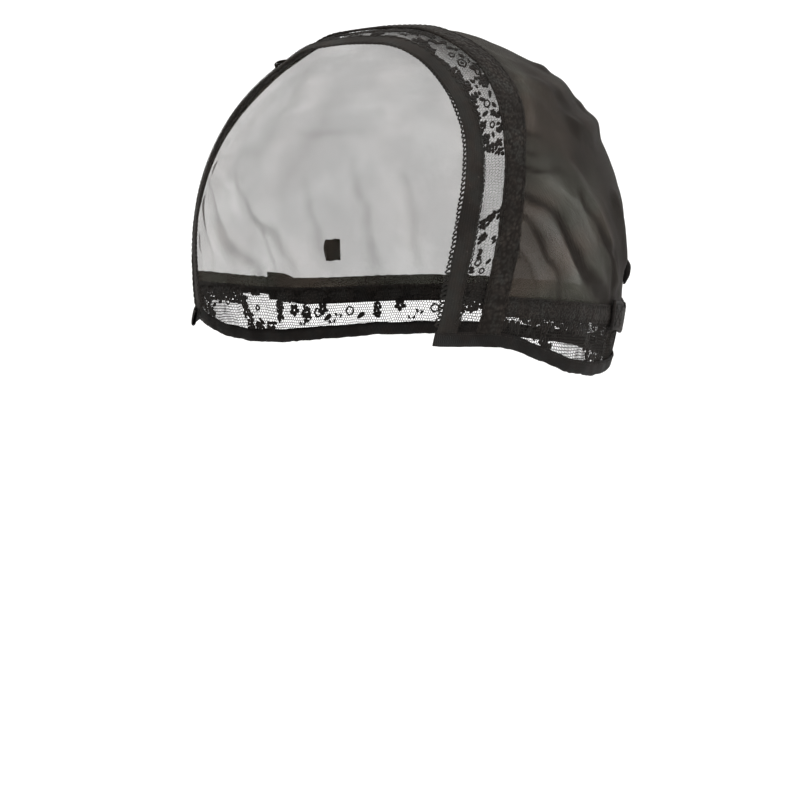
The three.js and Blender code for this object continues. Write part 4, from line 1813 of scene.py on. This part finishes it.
                def put(outline: Array) -> Array:
                    """Moves an outline to its place on the strip, mirrored on the right half."""
                    placed = [along + outline[:, 0] * side.value, figure.across + outline[:, 1] / width]
                    return np.stack(placed, -1)[:: side.value]

                for store, group in zip(stores, self._outlines(figure, rng)):
                    for outline in group:
                        placed = put(outline)
                        placed[:, 1] = np.clip(placed[:, 1], self.ground_from, self.ground_to)
                        if np.ptp(placed[:, 1]) * width > 0.25:
                            store.setdefault(len(placed), []).append(placed)
                if figure.kind is Motif.CLOTH:
                    patches.append((along, figure.across * width, figure.size, figure.wide))
        shapes, loops, cords = stores
        for group in shapes.values():
            mesh.plates(strip, np.stack(group), self.level - 0.15, self.level + 0.25, 1)
        for store, closed in ((loops, True), (cords, False)):
            for group in store.values():
                lines = np.stack(group)
                if closed:
                    lines = np.concatenate([lines, lines[:, :1]], axis=1)
                mesh.tubes(*strip.raised(lines[..., 0], lines[..., 1], self.level + 0.2), 0.2, sides=3)
        return np.array(patches).reshape(-1, 4)

    def along_at(self, strip: Strip, station: float, side: Side) -> float:
        """Millimetres along the strip of an angle of the chart on one half."""
        raise NotImplementedError


FRONT_FIGURES = figures({
    Motif.CLOTH: (
        (0, 0.82, 9, 2.8), (4.6, 0.1, 3.6, 2.2), (9, 0.86, 8, 2.6), (13.6, 0.2, 4.2, 3.4),
        (15.6, 0.62, 2.4, 2.2), (17.2, 0.86, 1.4, 1.8), (17.4, 0.14, 2.6, 2.2), (24.6, 0.04, 3.4, 1.3),
        (28.6, 0.1, 4.4, 2.6), (29.6, 0.98, 2.6, 1.6), (32.6, 0.46, 0.9, 2.4), (33.2, 0.12, 3.6, 2.6),
        (34.4, 0.88, 3.4, 3.2), (37.0, 0.34, 1.0, 3.2), (37.2, 0.08, 2.8, 2.0), (41.0, 0.03, 3.6, 1.5),
        (44.6, 0.96, 1.6, 1.4), (45.2, 0.12, 2.2, 1.9), (47.6, 0.93, 2.0, 1.7), (48.8, 0.14, 2.4, 2.0),
        (51.6, 0.5, 1.9, 4.8), (53.8, 0.86, 1.8, 2.2), (70.4, 0.74, 1.5, 2.6), (71.8, 0.3, 1.7, 3.0),
        (76.4, 0.2, 1.5, 1.5), (77.2, 0.88, 1.2, 1.2), (81.2, 0.22, 1.1, 1.0), (85.6, 0.06, 1.4, 1.1),
        (91.2, 0.5, 2.8, 4.2), (94.6, 0.6, 2.6, 4.0), (97.6, 0.5, 2.6, 4.0),
    ),
    Motif.LEAF: (
        (20.2, 0.74, 1.6, 40), (21.6, 0.88, 1.2, 70), (24.4, 0.78, 1.5, 14), (26.6, 0.56, 0.8, 20),
        (29.4, 0.74, 1.5, 30), (34.8, 0.46, 0.8, 20), (38.8, 0.44, 1.6, 55), (38.4, 0.84, 1.5, -20),
        (41.6, 0.86, 1.4, 30), (42.6, 0.34, 1.6, 100), (48.8, 0.5, 1.2, 10), (79.6, 0.3, 1.0, 60),
        (83.8, 0.8, 1.1, -50),
    ),
    Motif.RINGLET: (
        (22.8, 0.5, 1.6, 0), (26.6, 0.56, 2.6, 20), (31.2, 0.84, 1.8, 40), (40.4, 0.56, 1.9, 8),
        (46.2, 0.54, 1.5, 0), (83.4, 0.3, 1.5, 0), (86.4, 0.56, 1.2, 0),
    ),
    Motif.FLOWER: ((0, 0.34, 2.8, 10), (43.4, 0.7, 1.5, 0), (75.6, 0.34, 1.6, 20)),
    Motif.SPRIG: ((8.5, 0.5, 4.2, 8), (27.6, 0.9, 2.6, -8)),
})


@dataclass
class FrontLace(LaceStrip):
    """The lace between the front tape and the crown band."""

    node: str = "front_lace"
    ground_from: float = -0.24
    ground_to: float = 1.24

    def along_at(self, strip: Strip, station: float, side: Side) -> float:
        """Millimetres along the strip of an angle down from the top."""
        return float(strip.along_of(station * side.value))

    def build(self) -> Object:
        """Builds the lace.

        Returns:
            The lace.
        """
        strip = Strip.arch(ARCH.line("tape_rear"), ARCH.line("band_front"), 1.6)
        mesh = ClothMesh()
        patches = self._figures(strip, mesh, FRONT_FIGURES, 3)
        self._ground(strip, mesh, patches, 61)
        made = self.make(mesh, "front_lace_work", "lace thread", "lace figures", stands_for=True)
        return made


EAR_FIGURES = figures({
    Motif.CLOTH: (
        (-37.5, 0.5, 3, 4.0), (-27.4, 0.1, 4, 1.8), (-22, 0.2, 3.4, 2.8), (-21.4, 0.62, 2.0, 3.4),
        (-19.6, 0.86, 3.4, 2.0), (-18, 0.16, 2.6, 2.6), (-25, 0.1, 2.8, 2.6), (-14, 0.1, 3.6, 3.3),
        (-9.6, 0.1, 3.6, 3.6), (-5, 0.14, 4.6, 3.4), (-1.6, 0.18, 2.4, 3.4), (0.8, 0.42, 2.2, 4.4),
        (2.8, 0.78, 2.2, 4.4), (6, 0.04, 3, 1.2), (7.4, 0.86, 3.0, 2.2), (12.6, 0.88, 3.2, 2.4),
    ),
    Motif.LEAF: (
        (-34.4, 0.5, 2.2, 76), (-32.4, 0.5, 2.4, 96), (-30.4, 0.54, 2.6, 104), (-26.8, 0.6, 2.2, 70),
        (-25, 0.66, 2.0, 112), (-17.2, 0.52, 1.4, 30), (-13.2, 0.38, 1.3, 20),
    ),
    Motif.RINGLET: ((-8.4, 0.32, 1.7, 36), (7.0, 0.42, 1.4, 0)),
    Motif.SPRIG: ((-28.6, 0.58, 2.6, 80),),
})
NAPE_REPEAT = figures({
    Motif.CLOTH: ((0, 0.5, 2.1, 4.6), (3.2, 0.08, 6, 2.6), (12.8, 0.08, 7, 2.6)),
    Motif.LEAF: ((19, 0.72, 2.1, 30),),
    Motif.RINGLET: ((15.6, 0.56, 2.3, 10),),
    Motif.FLOWER: ((6.4, 0.46, 2.8, 20),),
    Motif.SPRIG: ((10.6, 0.76, 4.2, 8),),
})
NAPE_FIGURES = EAR_FIGURES + tuple(
    replace(figure, at=figure.at + start)
    for start in (17, 28, 52, 74)
    for figure in NAPE_REPEAT
    if figure.at + start < 92
)


@dataclass
class NapeLace(LaceStrip):
    """The lace panel between the net's casing and the hem."""

    node: str = "nape_lace"
    pitch: float = 1.12
    thread: float = 0.165
    ground_from: float = -0.1
    ground_to: float = 1.1
    fine_at: tuple[float, ...] = (14.0, 46.0)
    fineness: float = 0.64

    def along_at(self, strip: Strip, station: float, side: Side) -> float:
        """Millimetres along the strip of an angle behind the ear line."""
        left = float(strip.along_of(-station))
        return left if side is Side.LEFT else strip.length - left

    def _thread_at(self, strip: Strip, along: Array) -> Array:
        """Radius of the ground's threads, which are finer where the nape bends most.

        Args:
            strip: The strip.
            along: Millimetres along it.

        Returns:
            The radius there.
        """
        beside = np.minimum(along, strip.length - along)
        finer = np.zeros(along.shape)
        for station in self.fine_at:
            away = beside - self.along_at(strip, station, Side.LEFT)
            finer += np.exp(-((away / 10) ** 4))
        return self.thread * (1 - self.fineness * finer)

    def build(self) -> Object:
        """Builds the lace.

        Returns:
            The lace.
        """
        upper = LOWER.line("casing", 0.8 - CASING_HEIGHT / 2)
        lower = LOWER.line("hem", HEM_HEIGHT - 0.6)
        front_edge = ARCH.line("band_rear", -1.5)
        start = (around_of_arch(front_edge, upper), around_of_arch(front_edge, lower))
        strip = Strip.back(start, upper, lower)
        mesh = ClothMesh()
        patches = self._figures(strip, mesh, NAPE_FIGURES, 4)
        self._ground(strip, mesh, patches, 62)
        made = self.make(mesh, "nape_lace_work", "lace thread", "lace figures", stands_for=True)
        return made


# The folded ribbon's middle, from its outer edge round the fold: rise and lift in millimetres.
HEM_SECTION = (
    (5.6, 0.95), (4.9, 1.12), (4.1, 1.2), (3.2, 1.25), (2.3, 1.25), (1.4, 1.2), (0.7, 1.1), (0.25, 0.8),
    (0.12, 0.4), (0.3, 0.02), (1.0, -0.15), (2.2, -0.2), (3.6, -0.2), (4.9, -0.2),
)


@dataclass
class HemBinding(ClothPiece):
    """Satin ribbon folded over the lower edge, from one ear round the nape to the other."""

    node: str = "hem_binding"
    slot: Slot = Slot.SATIN
    wall: float = 0.3
    flare: float = 4.6
    stations: int = 440

    def build(self) -> Object:
        """Builds the ribbon with its fold, its ripple and its row of stitches.

        Returns:
            The ribbon.
        """
        around = np.linspace(180 - HEM_EAR_END, HEM_EAR_END, self.stations + 1)
        beside = np.where(around > 90, 180 - around, around)
        hem = LOWER.read("hem", beside)
        fold_rise, fold_lift = np.array(HEM_SECTION).T
        along_section = np.stack([np.gradient(fold_rise), np.gradient(fold_lift)], -1)
        along_section /= np.linalg.norm(along_section, axis=1, keepdims=True)
        away = np.stack([along_section[:, 1], -along_section[:, 0]], -1)
        arc = np.concatenate([[0], np.cumsum(np.hypot(np.diff(fold_rise), np.diff(fold_lift)))])
        base, _ = HEAD.on_ring(around, hem)
        along = np.concatenate([[0], np.cumsum(np.linalg.norm(np.diff(base, axis=0), axis=1))])
        noise = SoftNoise(71)
        ripple = 0.3 * noise.at(along / 9) + 0.16 * noise.at(along / 3.1, 5.0)
        tilt = 0.22 * noise.at(along / 6, 9.0)
        far_end = smoothstep(-along, -18, 0) ** 1.4
        cut = 0.8 * np.exp(-(((beside - HEM_EAR_END) / 5) ** 2)) * np.where(around > 90, -1, 1)
        mesh = ClothMesh()

        def surface(offset: float) -> Array:
            """Places one face of the folded ribbon.

            Args:
                offset: Its distance from the middle of the ribbon's thickness.

            Returns:
                Its points.
            """
            rise = fold_rise[None, :] + offset * away[None, :, 0] + ripple[:, None] * 0.7
            rise = rise + 0.16 * noise.at(along[:, None] / 2.2, arc[None, :] / 3)
            up = fold_rise[None, :] / HEM_HEIGHT
            lift = fold_lift[None, :] + offset * away[None, :, 1] + tilt[:, None] * (up - 0.4)
            lift = lift + (far_end * self.flare)[:, None] * (0.45 + 0.55 * (1 - up))
            lean = (cut[:, None] * rise / HEM_HEIGHT).clip(-2, 2)
            spots, normals = HEAD.on_ring(around[:, None] + lean, hem[:, None] + rise)
            return spots + normals * lift[..., None]

        cloth = np.stack(np.broadcast_arrays(along[:, None], arc[None, :]), -1)
        mesh.sheet(surface(self.wall / 2), surface(-self.wall / 2), cloth)
        made = self.make(mesh, "hem_ribbon", "satin ribbon", stands_for=True)
        heights = np.linspace(0, HEM_HEIGHT, 5)[None, :]
        strip = Strip(HEAD.on_ring(around[:, None] + 0 * heights, hem[:, None] + heights), -around)
        thread = ClothMesh()
        self.stitches(strip, thread, 0.9, True, 1.38)
        sewn = self.make(thread, "hem_stitches", "sewing thread")
        return made


@dataclass
class NapeStrap(ClothPiece):
    """The ribbed adjuster strap across the back, its ends folded and box-stitched."""

    node: str = "nape_strap"
    slot: Slot = Slot.TAPE
    under: float = 2.0
    over: float = 2.55
    folded_end: float = 15.0
    sag: float = 2.8
    narrowing: float = 0.8
    box_length: float = 10.0
    box_inset: float = 1.8

    def build(self) -> Object:
        """Builds the strap and the stitching of its ends.

        Returns:
            The strap.
        """
        upper, lower = (partial(self._edge_height, edge) for edge in (1, -1))
        strip = Strip.back((STRAP_FROM, STRAP_FROM), upper, lower)
        noise = SoftNoise(81)

        def doubled(along: Array) -> Array:
            """Where the strap is folded back on itself, near its ends."""
            near_end = np.minimum(along, strip.length - along)
            return smoothstep(-near_end, -self.folded_end - 0.5, -self.folded_end + 0.5)

        def outer(along: Array, across: Array) -> Array:
            """Height of the upper face, with its ribs."""
            ribs = 0.12 * np.abs(np.sin(np.pi * across / 1.5))
            return self.over + ribs + 0.5 * doubled(along) + 0.1 * noise.at(along / 8, across / 6)

        cuts = [wavering(lambda along: 0.15, noise, shift, (0.1, 3)) for shift in (2.0, 7.0)]
        inner = waved(self.under, noise, 0.08, 8, 6)
        body = self.ribbon(strip, 0.9, 30, outer, inner, cuts)
        made = self.make(body, "nape_strap_elastic", "ribbed strap", stands_for=True)
        thread = ClothMesh()
        for start in (2.0, strip.length - self.box_length - 2.0):
            self._box_stitch(strip, thread, start)
        sewn = self.make(thread, "nape_strap_stitches", "sewing thread")
        return made

    def _edge_height(self, edge: int, around: Array) -> Array:
        """Height of one edge of the strap, which sags and is narrower behind its ends.

        Args:
            edge: 1 for the upper edge and -1 for the lower.
            around: Angles round the head.

        Returns:
            The heights there.
        """
        behind_end = smoothstep(around, STRAP_FROM + 5, STRAP_FROM + 15)
        half = STRAP_HEIGHT / 2 - self.narrowing * behind_end
        return LOWER.read("casing", around) - self.sag * behind_end + edge * half

    def _box_stitch(self, strip: Strip, mesh: ClothMesh, start: float) -> None:
        """Adds a box of stitches with a cross in it.

        Args:
            strip: The strap's strip.
            mesh: The mesh that takes the stitches.
            start: Where the box begins, in millimetres along the strip.
        """
        low, high = self.box_inset, STRAP_HEIGHT - self.box_inset
        ends = [(0, low), (1, low), (1, high), (0, high), (0, low), (1, high), (1, low), (0, high)]
        corners = np.array(ends) * (self.box_length, 1.0)
        bulge = 0.12 * np.sin(np.pi * np.linspace(0, 1, 5))
        for first, last in zip(corners[:-1], corners[1:]):
            count = max(2, int(np.linalg.norm(last - first) / 2.0))
            t = (np.arange(count)[:, None] + np.linspace(0.08, 0.92, 5)[None, :]) / count
            spots = first + (last - first) * t[..., None]
            rise = self.over + 0.68 + bulge[None, :] + 0 * t
            lines = strip.raised(start + spots[..., 0], spots[..., 1] / STRAP_HEIGHT, rise)
            mesh.tubes(*lines, STITCH_RADIUS)


@dataclass
class StrapLoop(ClothPiece):
    """A folded satin loop above one end of the strap."""

    side: Side = Side.LEFT
    slot: Slot = Slot.SATIN
    around: float = 39.0
    top: float = -93.0
    bottom: float = -102.5
    half_angle: float = 2.2
    rise: float = 1.5

    def build(self) -> Object:
        """Builds the loop.

        Returns:
            The loop.
        """
        middle = self.around if self.side is Side.LEFT else 180 - self.around
        u = np.linspace(-1, 1, 17)[:, None]
        v = np.linspace(0, 1, 41)[None, :]
        height = self.top + (self.bottom - self.top) * v + 0.15 * np.sin(5 * u)
        points, normals = HEAD.on_ring(middle - u * self.half_angle, height)
        crown = self.rise * np.sin(np.pi * v**0.7) * (1 - 0.12 * u**2)
        lift = 0.3 + 0.05 * crown
        upper = lift + 0.75 + 0.55 * np.sin(np.pi * v) ** 0.5 + 0.95 * crown + 0.08 * np.sin(9 * v + 3 * u)
        cloth = np.stack(np.broadcast_arrays(3.2 * u, 10 * v), -1)
        mesh = ClothMesh()
        mesh.sheet(points + normals * upper[..., None], points + normals * lift[..., None], cloth)
        name = f"strap_loop_{self.side.name.lower()}_ribbon"
        return self.make(mesh, name, "satin ribbon", stands_for=True)


@dataclass
class LooseThreads(ClothPiece):
    """Ends of sewing thread left at the seams."""

    slot: Slot = Slot.TAPE

    def build(self) -> Object:
        """Builds the thread ends.

        Returns:
            The threads.
        """
        rng = np.random.default_rng(91)
        tufts = (
            (HEAD.on_ring(np.array(18.0), np.array(-121.0)), 0.3, 5.0, 5, 0.11),
            (HEAD.on_arch(np.array(-27.0), np.array(-31.5)), 1.2, 3.2, 6, 0.14),
            (HEAD.on_arch(np.array(37.0), np.array(-44.0)), 1.1, 2.4, 2, 0.09),
            (HEAD.on_ring(np.array(-50.0), np.array(-107.0)), 1.1, 2.8, 3, 0.09),
            (HEAD.on_ring(np.array(231.0), np.array(-107.0)), 1.1, 4.0, 3, 0.11),
        )
        mesh = ClothMesh()
        t = np.linspace(0, 1, 14)
        for (point, normal), lift, length, count, radius in tufts:
            across = np.cross(normal, (0.0, 0.0, 1.0))
            across /= np.linalg.norm(across)
            below = np.cross(normal, across)
            for _ in range(count):
                lean, curl = rng.uniform(-1.2, 1.2), rng.uniform(1.5, 3.5)
                size = length * rng.uniform(0.6, 1.0)
                out = normal * (lift + 0.55 * size * np.sin(curl * t) * t)[:, None]
                path = point + out + (across * lean * size * 0.7) * t[:, None]
                path = path + below * (0.5 * size * np.sin(curl * t + lean))[:, None] * t[:, None]
                mesh.tubes(path[None], np.broadcast_to(across + normal, path[None].shape), radius)
        t = np.linspace(0, 1, 12)
        for shift, height in ((-0.4, 1.7), (0.0, 1.1), (0.4, 0.5)):
            points, normals = HEAD.on_arch(-28.3 + 4.4 * t, -31.5 + shift + 0 * t)
            bulge = 1.1 + height * np.sin(np.pi * np.sqrt(t)) ** 0.8
            mesh.tubes((points + normals * bulge[:, None])[None], normals[None], 0.36)
        return self.make(mesh, "loose_thread_ends", "sewing thread")


# -------------------- studio


@dataclass
class Studio:
    """Pale floor that curves up behind, soft lights and the camera."""

    floor_height: float = -0.295
    azimuth: float = 30.08
    pitch: float = 11.63
    look_height: float = -0.1489
    distance: float = 0.7652
    focal: float = 84.3
    shift: float = -0.0075
    half_width: float = 3.5
    in_front: float = 2.5
    sweep_from: float = 0.9
    sweep_radius: float = 0.8
    wall_height: float = 3.2
    aim: float = -0.07

    def floor(self) -> Object:
        """Builds the floor and the sweep behind it as one smooth sheet.

        Returns:
            The floor.
        """
        turn = math.radians(self.azimuth)
        away = Vector((-math.sin(turn), math.cos(turn), 0))
        across = Vector((math.cos(turn), math.sin(turn), 0))
        radius = self.sweep_radius
        profile = [(-self.in_front, 0.0), (self.sweep_from, 0.0)]
        for step in range(1, 17):
            angle = step / 16 * math.pi / 2
            profile.append((self.sweep_from + radius * math.sin(angle), radius * (1 - math.cos(angle))))
        profile.append((self.sweep_from + radius, self.wall_height))
        corners = []
        for depth, rise in profile:
            for side in (-self.half_width, self.half_width):
                spot = away * depth + across * side
                corners.append((spot.x, spot.y, self.floor_height + rise))
        faces = [(2 * i, 2 * i + 1, 2 * i + 3, 2 * i + 2) for i in range(len(profile) - 1)]
        mesh = bpy.data.meshes.new("studio_floor")
        mesh.from_pydata(corners, [], faces)
        mesh.shade_smooth()
        material = bpy.data.materials.new("studio paper")
        material.use_nodes = True
        shader = material.node_tree.nodes["Principled BSDF"]
        shader.inputs["Base Color"].default_value = (0.9, 0.9, 0.9, 1)
        shader.inputs["Roughness"].default_value = 0.9
        shader.inputs["Specular IOR Level"].default_value = 0.1
        mesh.materials.append(material)
        made = bpy.data.objects.new("studio_floor", mesh)
        bpy.context.scene.collection.objects.link(made)
        made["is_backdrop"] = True
        return made

    def light(
        self, name: str, place: tuple[float, float, float], size: float, power: float, warmth: float = 1.0
    ) -> None:
        """Adds a soft square light aimed at the cap.

        Args:
            name: The light's name.
            place: Where it stands, in metres from the cap's middle.
            size: Length of its sides.
            power: Power in watts.
            warmth: How much blue is left in it.
        """
        lamp = bpy.data.lights.new(name, "AREA")
        lamp.size = size
        lamp.energy = power
        lamp.color = (1.0, 0.5 + 0.5 * warmth, warmth)
        made = bpy.data.objects.new(name, lamp)
        made.location = Vector(place) + Vector((0, 0, self.aim))
        made.rotation_euler = (-Vector(place)).to_track_quat("-Z", "Y").to_euler()
        bpy.context.scene.collection.objects.link(made)

    def camera(self) -> None:
        """Adds the camera and makes it the scene's."""
        turn, tip = math.radians(self.azimuth), math.radians(self.pitch)
        forward = Vector((-math.sin(turn), math.cos(turn), -math.tan(tip))) * math.cos(tip)
        lens = bpy.data.cameras.new("camera")
        lens.lens = self.focal
        lens.sensor_width = 36
        lens.shift_x = self.shift
        lens.clip_start, lens.clip_end = 0.05, 20
        made = bpy.data.objects.new("camera", lens)
        made.location = Vector((0, 0, self.look_height)) - forward * self.distance
        made.rotation_euler = forward.to_track_quat("-Z", "Y").to_euler()
        bpy.context.scene.collection.objects.link(made)
        bpy.context.scene.camera = made

    def build(self) -> None:
        """Builds the studio."""
        scene = bpy.context.scene
        world = bpy.data.worlds.new("studio")
        world.use_nodes = True
        background = world.node_tree.nodes["Background"]
        background.inputs["Color"].default_value = (1.0, 0.995, 0.99, 1)
        background.inputs["Strength"].default_value = 0.62
        scene.world = world
        scene.view_settings.view_transform = "Standard"
        self.floor()
        self.light("key", (-0.9, -1.5, 1.6), 1.4, 34, 0.97)
        self.light("fill", (1.7, -0.7, 0.7), 1.6, 18)
        self.light("top", (0.2, 0.5, 1.9), 1.6, 20)
        self.camera()


# -------------------- assembly


def note_size(stage: str, sizes: dict[str, list]) -> None:
    """Keeps the shown object's corners under a name."""
    low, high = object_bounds()
    sizes[stage] = [[float(value) for value in low], [float(value) for value in high]]


def main() -> None:
    """Builds the cap over its frame, in order, and then the studio."""
    logging.basicConfig(level=logging.INFO, format="%(name)s: %(message)s")
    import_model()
    sizes: dict[str, list] = {}
    note_size("cad", sizes)
    wardrobe = Wardrobe()
    parts = (
        FrontTape(wardrobe),
        FrontLace(wardrobe),
        CrownBand(wardrobe),
        CrownNet(wardrobe),
        NetCasing(wardrobe),
        NapeLace(wardrobe),
        HemBinding(wardrobe),
        NapeStrap(wardrobe),
        StrapLoop(wardrobe, node="strap_loop_left", side=Side.LEFT),
        StrapLoop(wardrobe, node="strap_loop_right", side=Side.RIGHT),
        LooseThreads(wardrobe),
    )
    for part in parts:
        made = part.build()
        LOG.info("built %s", made.name)
    Studio().build()
    note_size("dressed", sizes)


if __name__ == "__main__":
    main()
